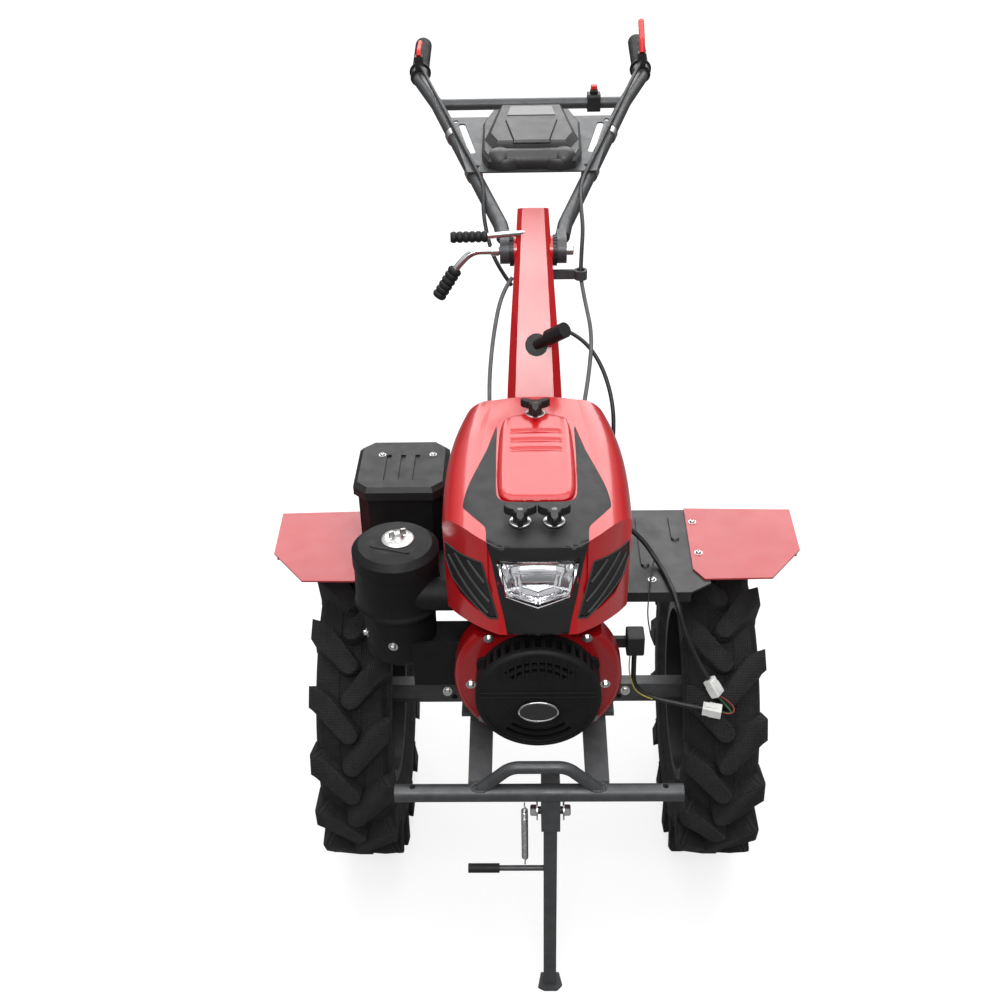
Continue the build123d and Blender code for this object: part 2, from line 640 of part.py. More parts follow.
def battery_lid():
    lid = top_slab(octagon(BATTERY_X, BATTERY_Y, 77, 79, 22), BATTERY_TOP_Z - 22, BATTERY_TOP_Z)
    lid = chamfer(lid.faces().sort_by(Axis.Z)[-1].edges(), 7)
    for shift in (-24, 0, 24):
        lid -= block(BATTERY_X + shift - 4, BATTERY_X + shift + 4, BATTERY_Y - 50, BATTERY_Y + 30,
                     BATTERY_TOP_Z - 3, BATTERY_TOP_Z + 1)
    return lid


# Front frame and stand

def frame_rails():
    """Two rails, the plate under the engine and the bracket on the gear case."""
    profile = outline([(BUMPER_Y, RAIL_BOTTOM_Z), (BUMPER_Y + BUMPER_R - 2, RAIL_FRONT_Z),
                       (-305, RAIL_TOP_Z),
                       (CASE_FRONT_Y - 10, RAIL_TOP_Z), (CASE_FRONT_Y - 10, RAIL_BOTTOM_Z)])
    bar = rod((-200, BUMPER_Y, BUMPER_Z), (200, BUMPER_Y, BUMPER_Z), BUMPER_R)
    rails = [side_slab(profile, x - RAIL_WIDTH / 2, x + RAIL_WIDTH / 2) - bar for x in (-RAIL_X, RAIL_X)]
    plate = block(-PLATE_HALF, PLATE_HALF, -294, -130, RAIL_TOP_Z, ENGINE_BASE_Z)
    bracket = block(-RAIL_X - RAIL_WIDTH / 2, RAIL_X + RAIL_WIDTH / 2, CASE_FRONT_Y - 10, CASE_FRONT_Y,
                    RAIL_BOTTOM_Z - 10, RAIL_TOP_Z)
    return rails[0] + rails[1] + plate + bracket


def bumper_bar():
    bar = rod((-BUMPER_LENGTH / 2, BUMPER_Y, BUMPER_Z), (BUMPER_LENGTH / 2, BUMPER_Y, BUMPER_Z), BUMPER_R)
    holes = [rod((x, BUMPER_Y, BUMPER_Z - 20), (x, BUMPER_Y, BUMPER_Z + 20), BUMPER_HOLE_R)
             for x in (-BUMPER_HOLE_X, BUMPER_HOLE_X)]
    return bar - holes


def bumper_hoop():
    """Low carrying loop welded to the top of the bumper bar."""
    base = BUMPER_Z + 4
    top = HOOP_TOP_Z - HOOP_R
    points = [(-HOOP_HALF, BUMPER_Y, base), (-HOOP_TOP_HALF, BUMPER_Y, top),
              (HOOP_TOP_HALF, BUMPER_Y, top), (HOOP_HALF, BUMPER_Y, base)]
    loop = tube(points, HOOP_R, 34)
    bar = rod((-200, BUMPER_Y, BUMPER_Z), (200, BUMPER_Y, BUMPER_Z), BUMPER_R)
    return loop - bar


def stand_bracket():
    """Channel under the bumper bar with its web in front, the pivot bolt and the spring pin."""
    half = BRACKET_INNER / 2 + BRACKET_WALL
    front = BUMPER_Y - 10
    channel = block(STAND_X - half, STAND_X + half, front, STAND_PIVOT_Y + 16, STAND_PIVOT_Z - 12,
                    BUMPER_Z)
    inside = block(STAND_X - BRACKET_INNER / 2, STAND_X + BRACKET_INNER / 2, front + BRACKET_WALL,
                   STAND_PIVOT_Y + 30, STAND_PIVOT_Z - 40, BUMPER_Z - BUMPER_R - 3)
    bar = rod((-200, BUMPER_Y, BUMPER_Z), (200, BUMPER_Y, BUMPER_Z), BUMPER_R)
    bolt = rod((STAND_X - half - 5, STAND_PIVOT_Y, STAND_PIVOT_Z),
               (STAND_X + half + 5, STAND_PIVOT_Y, STAND_PIVOT_Z),
               STAND_PIN_R)
    spring_pin = rod((SPRING_X - 6, STAND_PIVOT_Y + 6, STAND_PIVOT_Z + 20),
                     (STAND_X - half, STAND_PIVOT_Y + 6, STAND_PIVOT_Z + 20), 3.5)
    return channel - inside - bar + bolt + spring_pin


def stand_leg():
    """Flat leg on the pivot bolt with its foot plate and the pedal rod."""
    half = LEG_WIDTH / 2
    leg = side_slab(outline([(STAND_PIVOT_Y - 8, STAND_PIVOT_Z + 8),
                             (STAND_PIVOT_Y + 10, STAND_PIVOT_Z + 8),
                             (STAND_FOOT_Y + 9, 4), (STAND_FOOT_Y - 9, 4),
                             (STAND_PIVOT_Y - 12, STAND_PIVOT_Z - 30)]),
                    STAND_X - half, STAND_X + half)
    bore = rod((STAND_X - 40, STAND_PIVOT_Y, STAND_PIVOT_Z), (STAND_X + 40, STAND_PIVOT_Y, STAND_PIVOT_Z),
               STAND_PIN_R + PIVOT_FIT)
    foot = top_slab(Pos(STAND_X,
                        STAND_FOOT_Y) * outline([(-20, -12), (-10, -18), (12, -18), (21, -8), (16, 16),
                                                          (-15, 16)]), 0, 5)
    y = STAND_PIVOT_Y + (STAND_FOOT_Y - STAND_PIVOT_Y) * (STAND_PIVOT_Z - PEDAL_Z) / STAND_PIVOT_Z
    pedal = rod((PEDAL_END_X + 2, y, PEDAL_Z), (STAND_X, y, PEDAL_Z), PEDAL_R)
    return leg - bore + foot + pedal


def stand_pedal_grip():
    y = STAND_PIVOT_Y + (STAND_FOOT_Y - STAND_PIVOT_Y) * (STAND_PIVOT_Z - PEDAL_Z) / STAND_PIVOT_Z
    sleeve = rod((PEDAL_END_X, y, PEDAL_Z), (PEDAL_END_X + 50, y, PEDAL_Z), 7.5)
    core = rod((PEDAL_END_X + 2, y, PEDAL_Z), (PEDAL_END_X + 60, y, PEDAL_Z), PEDAL_R)
    return sleeve - core


def stand_spring():
    """Pull spring from the bracket's pin to the pedal rod, its coils as close rings."""
    y = STAND_PIVOT_Y + (STAND_FOOT_Y - STAND_PIVOT_Y) * (STAND_PIVOT_Z - PEDAL_Z) / STAND_PIVOT_Z
    top = STAND_PIVOT_Z + 16
    bottom = PEDAL_Z + PEDAL_R
    profile = [(0, bottom), (SPRING_R - 2, bottom)]
    rings = 12
    pitch = (top - bottom) / rings
    for k in range(rings):
        profile += [(SPRING_R, bottom + pitch * (k + 0.3)), (SPRING_R, bottom + pitch * (k + 0.7)),
                    (SPRING_R - 2, bottom + pitch * (k + 1))]
    profile.append((0, top))
    upright = revolve(Plane.XZ * outline(profile), Axis.Z)
    return Pos(SPRING_X, STAND_PIVOT_Y, 0) * upright


# Column and handlebar

def column_mast(inset):
    """Tapering box with bevelled front edges, drawn in by the inset on all sides."""
    base = Vector(0, COLUMN_BASE_Y, CASE_TOP_Z + 12)
    along = Vector(0, COLUMN_TIP_Y, COLUMN_TIP_Z) - base
    sections = []
    for share, full_width, full_depth in ((0, 98, 96), (0.38, 90, 84), (0.72, 70, 68), (1, 52, 50)):
        width = full_width - 2 * inset
        depth = full_depth - 2 * inset
        bevel = 0.15 * width
        face = outline([(-width / 2, depth / 2), (width / 2, depth / 2), (width / 2, -depth / 2 + bevel),
                        (width / 2 - bevel, -depth / 2), (-width / 2 + bevel, -depth / 2),
                        (-width / 2, -depth / 2 + bevel)])
        sections.append(Plane(origin=base + along * share, x_dir=(1, 0, 0), z_dir=along) * face)
    return loft(sections)


def column():
    """Hollow mast from the gear case up to the handlebar pivot, with its foot and the pivot bolt."""
    mast = column_mast(0) & block(-100, 100, -100, 500, CASE_TOP_Z + 10, COLUMN_TIP_Z + 60)
    mast -= column_mast(COLUMN_WALL) & block(-100, 100, -100, 500, CASE_TOP_Z + 34, COLUMN_TIP_Z - 20)
    foot = block(-56, 56, COLUMN_BASE_Y - 68, COLUMN_BASE_Y + 40, CASE_TOP_Z, CASE_TOP_Z + 34)
    cheeks = rod((-DISC_X, PIVOT_Y, PIVOT_Z), (DISC_X, PIVOT_Y, PIVOT_Z), 24)
    bolt = rod((-EYE_X - 22, PIVOT_Y, PIVOT_Z), (EYE_X + 18, PIVOT_Y, PIVOT_Z), PIVOT_R)
    return mast + foot + cheeks + bolt


def pivot_disc(side):
    """Serrated locking disc between the column and a handlebar eye."""
    ring = Circle(DISC_R) - Circle(PIVOT_R + FIT)
    teeth = [Rot(Z=15 * k) * Pos(DISC_R, 0) * Rectangle(2.6, 2.2) for k in range(24)]
    near, far = sorted((side * DISC_X, side * (DISC_X + DISC_WIDTH)))
    return Pos(0, PIVOT_Y, PIVOT_Z) * side_slab(ring - teeth, near, far)


def cable_bracket():
    """Flat arm on the column's right side with the ring that holds the cables."""
    arm = block(28, BRACKET_RING_X, BRACKET_RING_Y - 3, BRACKET_RING_Y + 3, BRACKET_RING_Z - 8,
                BRACKET_RING_Z + 8)
    cup = rod((BRACKET_RING_X, BRACKET_RING_Y, BRACKET_RING_Z - 8),
              (BRACKET_RING_X, BRACKET_RING_Y, BRACKET_RING_Z + 8), 11)
    hole = rod((BRACKET_RING_X, BRACKET_RING_Y, BRACKET_RING_Z - 9),
               (BRACKET_RING_X, BRACKET_RING_Y, BRACKET_RING_Z + 9), 7)
    return arm + cup - hole - column_mast(0)


def handlebar_path(side):
    rise = (GRIP_END_Z - PIVOT_Z) / (GRIP_END_Y - PIVOT_Y)
    return [(side * (EYE_X + 2), PIVOT_Y + EYE_REACH, PIVOT_Z + rise * EYE_REACH),
            (side * (EYE_X + 8), PIVOT_Y + 80, PIVOT_Z + rise * 80),
            (side * CROSS_HALF, CROSS_Y, CROSS_Z),
            (side * GRIP_X, GRIP_FRONT_Y - 20, PIVOT_Z + rise * (GRIP_FRONT_Y - 20 - PIVOT_Y)),
            (side * GRIP_X, GRIP_END_Y - 3, GRIP_END_Z)]


def handlebar_tube(side):
    """One bent tube with the eye that turns on the pivot bolt."""
    path = handlebar_path(side)
    bar = tube(path, TUBE_R, TUBE_BENDS)
    plug = Vector(*path[0]) + (Vector(*path[1]) - Vector(*path[0])) * TUBE_PLUG
    hollow = tube([tuple(plug), *path[1:]], TUBE_R - TUBE_WALL, TUBE_BENDS)
    near, far = sorted((side * (EYE_X - EYE_WIDTH / 2), side * (EYE_X + EYE_WIDTH / 2)))
    tongue = outline([(PIVOT_Y - 2, PIVOT_Z - EYE_R), (PIVOT_Y - 2, PIVOT_Z + EYE_R),
                      (path[0][1] + 6, path[0][2] + TUBE_R), (path[0][1] + 6, path[0][2] - TUBE_R)])
    eye = rod((near, PIVOT_Y, PIVOT_Z), (far, PIVOT_Y, PIVOT_Z), EYE_R) + side_slab(tongue, near, far)
    bore = rod((near - 1, PIVOT_Y, PIVOT_Z), (far + 1, PIVOT_Y, PIVOT_Z), PIVOT_R + PIVOT_FIT)
    return bar + eye - bore - hollow


def cross_tube():
    ends = ((-CROSS_HALF, CROSS_Y, CROSS_Z), (CROSS_HALF, CROSS_Y, CROSS_Z))
    bar = rod(*ends, CROSS_R) - rod(*ends, CROSS_R - TUBE_WALL)
    for side in (-1, 1):
        bar -= tube(handlebar_path(side), TUBE_R, TUBE_BENDS)
    return bar


def handle_plane(y):
    """Work plane on top of the tubes at a distance behind the axle, its Y running up the handlebar."""
    rise = (CROSS_Z - PIVOT_Z) / (CROSS_Y - PIVOT_Y)
    z = PIVOT_Z + rise * (y - PIVOT_Y)
    return Plane(origin=(0, y, z), x_dir=(1, 0, 0), z_dir=(0, -rise, 1))


def console_plate():
    """Flat plate on the tubes with its two long slots and four holes."""
    face = outline([(-164, 105), (164, 105), (118, -108), (-118, -108)])
    for side in (-1, 1):
        face -= Pos(side * 122, 20) * Rot(Z=side * -12) * SlotOverall(120, 13, rotation=90)
        face -= Pos(side * 146, 88) * Circle(5)
        face -= Pos(side * 100, -88) * Circle(5)
    return handle_plane(585) * Pos(0, 0, TUBE_R) * extrude(face, 3)


def console_step(inset, low_height, high_height):
    """Two steps of the console cover with rounded lower lobes, drawn in by the inset."""
    wide = 92 - inset
    low = extrude(outline([(-wide, 98 - inset), (wide, 98 - inset), (wide, -70),
                           (wide - 22, -108 + inset),
                           (22 - wide, -108 + inset), (-wide, -70)]), low_height)
    low = fillet(low.edges().filter_by(Axis.Z), 14 - inset)
    high = extrude(outline([(14 - wide, 92 - inset), (wide - 14, 92 - inset), (wide - 26, 8 + inset),
                            (26 - wide, 8 + inset)]), high_height)
    return low + high


def console_cover():
    """Raised plastic shell in the middle of the plate."""
    shell = console_step(0, 26, 40) - console_step(COVER_WALL, 26 - COVER_WALL, 40 - COVER_WALL)
    return handle_plane(585) * Pos(0, 0, TUBE_R + 3) * shell


def grip(side):
    path = handlebar_path(side)
    start = Vector(*path[-2])
    run = (Vector(*path[-1]) - start).normalized()
    front = start + run * 34
    end = Vector(*path[-1]) + run * 3
    sleeve = rod(tuple(front), tuple(end), GRIP_R)
    flange = rod(tuple(front), tuple(front + run * 6), GRIP_R + 5)
    core = rod(tuple(start), tuple(Vector(*path[-1])), TUBE_R)
    return sleeve + flange - core


def lever_bracket(side):
    """Clamp round the tube ahead of the grip with the ears of a hand lever."""
    path = handlebar_path(side)
    start = Vector(*path[-2])
    run = (Vector(*path[-1]) - start).normalized()
    low = start + run * 10
    band = rod(tuple(low), tuple(low + run * 18), TUBE_R + 6)
    ear = Pos(side * GRIP_X, low.Y + 8, low.Z + 28) * Box(16, 20, 30)
    lever = hand_lever_right() if side > 0 else hand_lever_left()
    return band + ear - tube(path, TUBE_R, TUBE_BENDS) - lever


def hand_lever_right():
    """Long lever, standing up from its bracket."""
    path = handlebar_path(1)
    foot = Vector(*path[-2]) + Vector(0, 10, 46)
    return tube([tuple(foot), tuple(foot + Vector(0, 12, 18)), tuple(foot + Vector(2, 76, 46))], 6)


def hand_lever_left():
    path = handlebar_path(-1)
    foot = Vector(*path[-2]) + Vector(0, 10, 46)
    return tube([tuple(foot), tuple(foot + Vector(0, 10, 8)), tuple(foot + Vector(0, 66, 12))], 5)


def clamp_lever():
    """Bent rod on the left end of the pivot bolt that locks the handlebar."""
    return tube([(-EYE_X - 22, PIVOT_Y, PIVOT_Z), (-103, PIVOT_Y, PIVOT_Z),
                 (-128, PIVOT_Y - 8, PIVOT_Z - 22),
                 (-150, PIVOT_Y - 12, PIVOT_Z - 56)], 6)


def ribbed(start, end, radius, ribs):
    """Moulded grip with rounded ribs along a straight run."""
    run = Vector(*end) - Vector(*start)
    pitch = run.length / ribs
    profile = [(0, 0), (radius - 2, 0)]
    for k in range(ribs):
        profile += [(radius, pitch * (k + 0.25)), (radius, pitch * (k + 0.65)),
                    (radius - 2, pitch * (k + 1))]
    profile.append((0, run.length))
    return Plane(origin=start, z_dir=run) * revolve(Plane.XZ * outline(profile), Axis.Z)


def clamp_grip():
    return ribbed((-132, PIVOT_Y - 9, PIVOT_Z - 28), (-164, PIVOT_Y - 14, PIVOT_Z - 77), 12,
                  6) - clamp_lever()


def shift_rod():
    """Straight rod out of the column's front left corner, above the locking disc."""
    return rod((-14, PIVOT_Y - 8, SHIFT_Z), (-84, PIVOT_Y - 24, SHIFT_Z), 5) - column_mast(0)


def shift_grip():
    return ribbed((-76, PIVOT_Y - 24, SHIFT_Z), (-138, PIVOT_Y - 26, SHIFT_Z), 9.5, 6) - shift_rod()


def gear_lever():
    """Short ribbed lever out of a dome boot in the column's front face."""
    base = Vector(0, COLUMN_BASE_Y, CASE_TOP_Z + 12)
    along = Vector(0, COLUMN_TIP_Y, COLUMN_TIP_Z) - base
    face = Plane(origin=base + along * 0.52, x_dir=(1, 0, 0), z_dir=(0, -along.Z, along.Y))
    boot = Pos(4, 0, 34) * Cylinder(19, 14)
    stem = rod((4, 0, 40), (30, 14, 74), 8)
    knob = rod((24, 11, 66), (50, 22, 96), 13)
    return face * (boot + stem + knob) - column()


def stop_switch():
    """Small switch box clamped on the cross tube."""
    case = block(SWITCH_X - 13, SWITCH_X + 13, CROSS_Y - 17, CROSS_Y + 17, CROSS_Z - 15, CROSS_Z + 19)
    case = fillet(case.edges().filter_by(Axis.X), 6)
    button = rod((SWITCH_X, CROSS_Y - 4, CROSS_Z + 18), (SWITCH_X, CROSS_Y - 6, CROSS_Z + 27), 8)
    return case + button - rod((-CROSS_HALF, CROSS_Y, CROSS_Z), (CROSS_HALF, CROSS_Y, CROSS_Z), CROSS_R)


def tube_point(side, y, lift):
    """Point at a height over a handlebar tube's middle line, between its first bend and the cross tube."""
    low, high = Vector(*handlebar_path(side)[1]), Vector(*handlebar_path(side)[2])
    middle = low + (high - low) * ((y - low.Y) / (high.Y - low.Y))
    return middle + handle_plane(y).z_dir * lift


def plate_clamp(side, y):
    """Band round one tube that holds the console plate."""
    start, end = tuple(tube_point(side, y - 9, 0)), tuple(tube_point(side, y + 9, 0))
    return rod(start, end, CLAMP_R) - rod(start, end, TUBE_R) - console_plate() - console_cover()


def handle_cable(side):
    """Cable from a lever bracket down the top of its tube to the column."""
    lift = CLAMP_R + CABLE_R + 1
    upper = [(side * 216, 856, 1205), (side * 203, 806, 1196)]
    upper += [tuple(tube_point(side, y, lift + 2 * k)) for y, k in ((730, 0), (655, 1), (580, 0),
                                                                    (500, 1), (425, 0))]
    if side > 0:
        lower = [(84, 350, 1102), (86, 290, 1084), (81.5, 240, 1060),
                 (BRACKET_RING_X, BRACKET_RING_Y, BRACKET_RING_Z + 4)]
    else:
        lower = [(-88, 366, 1094), (-80, 310, 1064), (-64, 262, 1030), (-37.6, 233.6, 1003.6)]
    return tube(upper + lower, CABLE_R)


def engine_cables():
    """Cables held by the column that run to the engine: two grey ones and a black arc."""
    right = tube([(BRACKET_RING_X, BRACKET_RING_Y, BRACKET_RING_Z - 4), (BRACKET_RING_X + 5, 208, 994),
                  (98, 150, 950),
                  (90, 84, 908), (78, 32, 866), (72.5, -0.9, 822.1)], CABLE_R)
    left = tube([(-36, 218, 1024), (-54, 200, 1006), (-68, 142, 956), (-75, 78, 906), (-74, 30, 862),
                 (-72.2, -0.9, 822.1)],
                CABLE_R)
    arc = tube([(40, 178, 950), (74, 164, 944), (112, 128, 910), (132, 74, 858), (131, 44, 790),
                (122, 30, 714),
                (116, 26, FENDER_Z + 1)], CABLE_R)
    return [right, left, arc]


def upper_route():
    """Lead out of the hood, over the fender plate and down past its front edge."""
    top = FENDER_Z + FENDER_THICK + LEAD_R + 0.4
    return [(116, -62, 716), (142, -58, 708), (176, -66, 680), (200, -84, top + 1), (212, -128, top),
            (221, -186, top), (232, -204, 606), (252, -222, 560), (274, -237, 526)]


def lower_route():
    """Bundle from the relay down and out to the lower connector."""
    return [(152, -248, 595.9), (152, -248.2, 556), (154, -242, 518), (178, -243, 494),
            (226, -253.4, 488.2),
            (264, -262, 486)]


def connector(origin, towards):
    """Plain moulded connector shell on the end of a lead."""
    shell = Box(20, 14, 30, align=(Align.CENTER, Align.CENTER, Align.MIN))
    latch = Pos(0, 9, 8) * Box(8, 4, 14, align=(Align.CENTER, Align.CENTER, Align.MIN))
    return Plane(origin=origin, x_dir=(0, 1, 0), z_dir=towards) * (fillet(shell.edges(), 2) + latch)


def relay_block():
    """Relay on its arm at the engine's right side."""
    arm = block(ENGINE_HALF - 15, 140, -252, -244, 604, 622)
    case = block(138, 166, -264, -232, 596, 632)
    return arm + fillet(case.edges(), 3)


os.makedirs("parts", exist_ok=True)

tyre_form = tyre()
rim_form = rim()
hub_form = hub()
axle_form = axle()
for word, side in (("left", 1), ("right", -1)):
    save(f"tyre_{word}", Pos(side * WHEEL_X, 0, AXLE_Z) * tyre_form)
    save(f"rim_{word}", wheel_place(rim_form, side))
    save(f"hub_{word}", wheel_place(hub_form, side))
    save(f"axle_{word}", wheel_place(axle_form, side))

save("gear_case", gear_case())
save("clutch_housing", clutch_housing())
save("hitch_bracket", hitch_bracket())
save("engine_block", engine_block())
save("fan_cover", fan_cover())
save("recoil_starter", recoil_starter())
save("muffler", muffler())
save("carburettor", carburettor())
save("fuel_tank", fuel_tank())
save("air_filter_body", air_filter_body())
save("air_filter_lid", air_filter_lid())
save("air_filter_nut", air_filter_nut())
save("air_filter_bracket", air_filter_bracket())

red_hood, black_panel, vent_grilles, lamp_lens, lamp_bowl = hood_parts()
save("hood", red_hood)
save("hood_panel", black_panel)
save("hood_vents", Compound(children=vent_grilles))
save("headlamp_lens", lamp_lens)
save("headlamp_bowl", lamp_bowl)
save("hood_knobs", Compound(children=[hood_knob(x, y) for x, y in knob_places()]))

filter_room = Pos(FILTER_X, FILTER_Y, FENDER_Z) * Cylinder(FILTER_R + 6, 60)
save("fenders", Compound(children=[fender_plate(), mirror(fender_plate(), Plane.YZ) - filter_room]))
save("fender_flaps", both_sides(fender_flap()))
save("fender_arms", both_sides(fender_arm()))
save("battery_box", battery_box())
save("battery_lid", battery_lid())

save("frame_rails", frame_rails())
save("bumper_bar", bumper_bar())
save("bumper_hoop", bumper_hoop())
save("stand_bracket", stand_bracket())
save("stand_leg", stand_leg())
save("stand_pedal_grip", stand_pedal_grip())
save("stand_spring", stand_spring())

save("column", column())
save("clamp_lever", Compound(children=[clamp_lever(), shift_rod()]))
save("clamp_grip", Compound(children=[clamp_grip(), shift_grip()]))
save("pivot_discs", Compound(children=[pivot_disc(-1), pivot_disc(1)]))
save("cable_bracket", cable_bracket())
save("gear_lever", gear_lever())
save("handlebar_tubes", Compound(children=[handlebar_tube(-1), handlebar_tube(1)]))
save("cross_tube", cross_tube())
save("console_plate", console_plate())
save("console_cover", console_cover())
save("grips", Compound(children=[grip(-1), grip(1)]))
save("lever_brackets", Compound(children=[lever_bracket(-1), lever_bracket(1)]))
save("hand_levers", Compound(children=[hand_lever_left(), hand_lever_right()]))
save("stop_switch", stop_switch())
save("plate_clamps", Compound(children=[plate_clamp(side, y) for side in (-1, 1) for y in (498, 640)]))
save("handle_cables", Compound(children=[handle_cable(-1), handle_cable(1)]))
save("engine_cables", Compound(children=engine_cables()))
save("lead_upper", tube(upper_route(), LEAD_R))
save("lead_lower", tube(lower_route(), LEAD_R))
save("lead_connectors", Compound(children=[connector((274.5, -237.3, 525.3), (22, -15, -34)),
                                           connector((264.2, -262, 486), (38, -8.6, -2.2))]))
save("relay_block", relay_block())
for lead, route in (("lead_upper", upper_route()), ("lead_lower", lower_route())):
    print(lead, "bend radii in mm:", [round(radius) for radius in bend_radii(route)])
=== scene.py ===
"""Walking tractor: finishes, tread, bolts, cables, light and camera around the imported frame."""
import json
from math import atan2, cos, exp, hypot, pi, radians, sin, sqrt

import bmesh
import bpy
from mathutils import Matrix, Vector
from mathutils.geometry import delaunay_2d_cdt


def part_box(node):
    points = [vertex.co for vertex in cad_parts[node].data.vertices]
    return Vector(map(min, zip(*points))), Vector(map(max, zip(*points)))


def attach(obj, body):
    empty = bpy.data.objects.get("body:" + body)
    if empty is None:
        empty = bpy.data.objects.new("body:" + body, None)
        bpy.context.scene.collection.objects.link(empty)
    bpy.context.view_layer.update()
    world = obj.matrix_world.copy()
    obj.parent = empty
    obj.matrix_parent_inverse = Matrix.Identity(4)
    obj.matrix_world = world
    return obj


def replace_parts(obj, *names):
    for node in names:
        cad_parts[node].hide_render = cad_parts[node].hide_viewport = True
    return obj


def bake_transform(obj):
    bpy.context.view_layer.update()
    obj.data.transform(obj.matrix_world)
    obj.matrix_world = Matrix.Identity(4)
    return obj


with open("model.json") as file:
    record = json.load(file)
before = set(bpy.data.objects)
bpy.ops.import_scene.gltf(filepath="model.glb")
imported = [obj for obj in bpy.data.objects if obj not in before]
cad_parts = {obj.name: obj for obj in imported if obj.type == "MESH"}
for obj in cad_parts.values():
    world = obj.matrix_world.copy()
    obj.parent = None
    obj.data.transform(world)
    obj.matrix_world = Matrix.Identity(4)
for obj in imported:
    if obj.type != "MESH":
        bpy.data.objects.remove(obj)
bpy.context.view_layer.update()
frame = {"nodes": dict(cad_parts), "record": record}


def middle_of(node):
    return [(low + high) / 2 for low, high in zip(*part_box(node))]


# The part's source measures Y from the wheel axle, in millimetres
_, AXLE_Y, AXLE_Z = middle_of("axle_left")
MM = 0.001
SCALED = Matrix.Scale(MM, 4)

# Camera of the photograph
CAMERA_PLACE = Vector((-0.0147, -2.06975, 1.862))
CAMERA_PITCH = radians(33.0)
CAMERA_YAW = radians(1.457)
CAMERA_ROLL = radians(-1.269)
CAMERA_LENS = 45.0
CAMERA_SENSOR = 36.0


def add_object(name, data):
    thing = bpy.data.objects.new(name, data)
    bpy.context.scene.collection.objects.link(thing)
    return thing


def at(x, y, z):
    """Point of the part's source, in millimetres behind the axle, as a point of the frame."""
    return Vector((x * MM, y * MM + AXLE_Y, z * MM))


# Node helpers for materials
def set_inputs(node, **values):
    for name, value in values.items():
        node.inputs[name.replace("_", " ")].default_value = value


def new_material(name, **sockets):
    material = bpy.data.materials.new(name)
    material.use_nodes = True
    set_inputs(material.node_tree.nodes["Principled BSDF"], **sockets)
    return material


def tree_of(material):
    tree = material.node_tree
    return tree, tree.nodes["Principled BSDF"]


def place_in(tree):
    return tree.nodes.new("ShaderNodeTexCoord").outputs["Object"]


def noise(tree, scale, detail=3.0):
    node = tree.nodes.new("ShaderNodeTexNoise")
    set_inputs(node, Scale=scale, Detail=detail, Roughness=0.55)
    tree.links.new(place_in(tree), node.inputs["Vector"])
    return node.outputs["Fac"]


def between(tree, source, low, high, out_low, out_high):
    node = tree.nodes.new("ShaderNodeMapRange")
    set_inputs(node, From_Min=low, From_Max=high, To_Min=out_low, To_Max=out_high)
    tree.links.new(source, node.inputs["Value"])
    return node.outputs["Result"]


def arithmetic(tree, operation, first, second=0.0):
    node = tree.nodes.new("ShaderNodeMath")
    node.operation = operation
    for socket, value in zip(node.inputs, (first, second)):
        if isinstance(value, (int, float)):
            socket.default_value = value
        else:
            tree.links.new(value, socket)
    return node.outputs["Value"]


def tint(material, source, dark, light, start=0.0, stop=1.0):
    """Base colour that follows a value from dark to light."""
    tree, shader = tree_of(material)
    ramp = tree.nodes.new("ShaderNodeValToRGB")
    for element, colour, position in zip(ramp.color_ramp.elements, (dark, light), (start, stop)):
        element.color = (*colour, 1)
        element.position = position
    tree.links.new(source, ramp.inputs["Fac"])
    tree.links.new(ramp.outputs["Color"], shader.inputs["Base Color"])


# Noise lies mostly between these values
NOISE_LOW, NOISE_HIGH = 0.3, 0.7


def vary_roughness(material, low, high, scale):
    tree, shader = tree_of(material)
    drift = between(tree, noise(tree, scale), NOISE_LOW, NOISE_HIGH, low, high)
    tree.links.new(drift, shader.inputs["Roughness"])


def add_bump(material, height, distance):
    tree, shader = tree_of(material)
    bump = tree.nodes.new("ShaderNodeBump")
    set_inputs(bump, Distance=distance, Strength=1.0)
    tree.links.new(height, bump.inputs["Height"])
    tree.links.new(bump.outputs["Normal"], shader.inputs["Normal"])


def finish(name, colours, rough, bumps=None, **sockets):
    """Material with two shades, a roughness range and fine bumps, each with its noise scale."""
    material = new_material(name, **sockets)
    dark, light, scale = colours
    tint(material, noise(material.node_tree, scale), dark, light, NOISE_LOW, NOISE_HIGH)
    vary_roughness(material, *rough)
    if bumps:
        scale, distance, *detail = bumps
        add_bump(material, noise(material.node_tree, scale, *detail), distance)
    return material


# Materials
def red_paint():
    return finish("red_paint", ((0.47, 0.003, 0.006), (0.55, 0.005, 0.009), 5), rough=(0.28, 0.4, 14),
                  bumps=(420, 0.00012), Coat_Weight=0.8, Coat_Roughness=0.14)


def flap_paint():
    """Paler red of the outer fender sheets, with more green and blue than the hood's paint, satin from powder
    coating.
    """
    return finish("flap_paint", ((0.41, 0.024, 0.032), (0.47, 0.032, 0.04), 8), rough=(0.4, 0.52, 30),
                  bumps=(900, 0.00015), Coat_Weight=0.6, Coat_Roughness=0.35)


def black_plastic():
    return finish("black_plastic", ((0.009, 0.009, 0.01), (0.016, 0.016, 0.017), 16), rough=(0.42, 0.56, 40),
                  bumps=(1500, 0.00022, 2.0), Specular_IOR_Level=0.42)


def black_paint():
    return finish("black_paint", ((0.012, 0.012, 0.013), (0.02, 0.02, 0.021), 10), rough=(0.36, 0.5, 25),
                  bumps=(500, 0.00012))


def grey_paint():
    """Graphite powder coat with a little metal flake."""
    return finish("grey_paint", ((0.062, 0.064, 0.067), (0.084, 0.086, 0.09), 60), rough=(0.34, 0.48, 40),
                  bumps=(750, 0.00018), Metallic=0.35)


TYRE_R = 297
MESH_PITCH = 0.0052
WHEEL_X = {side: middle_of(f"tyre_{side}")[0] for side in ("left", "right")}


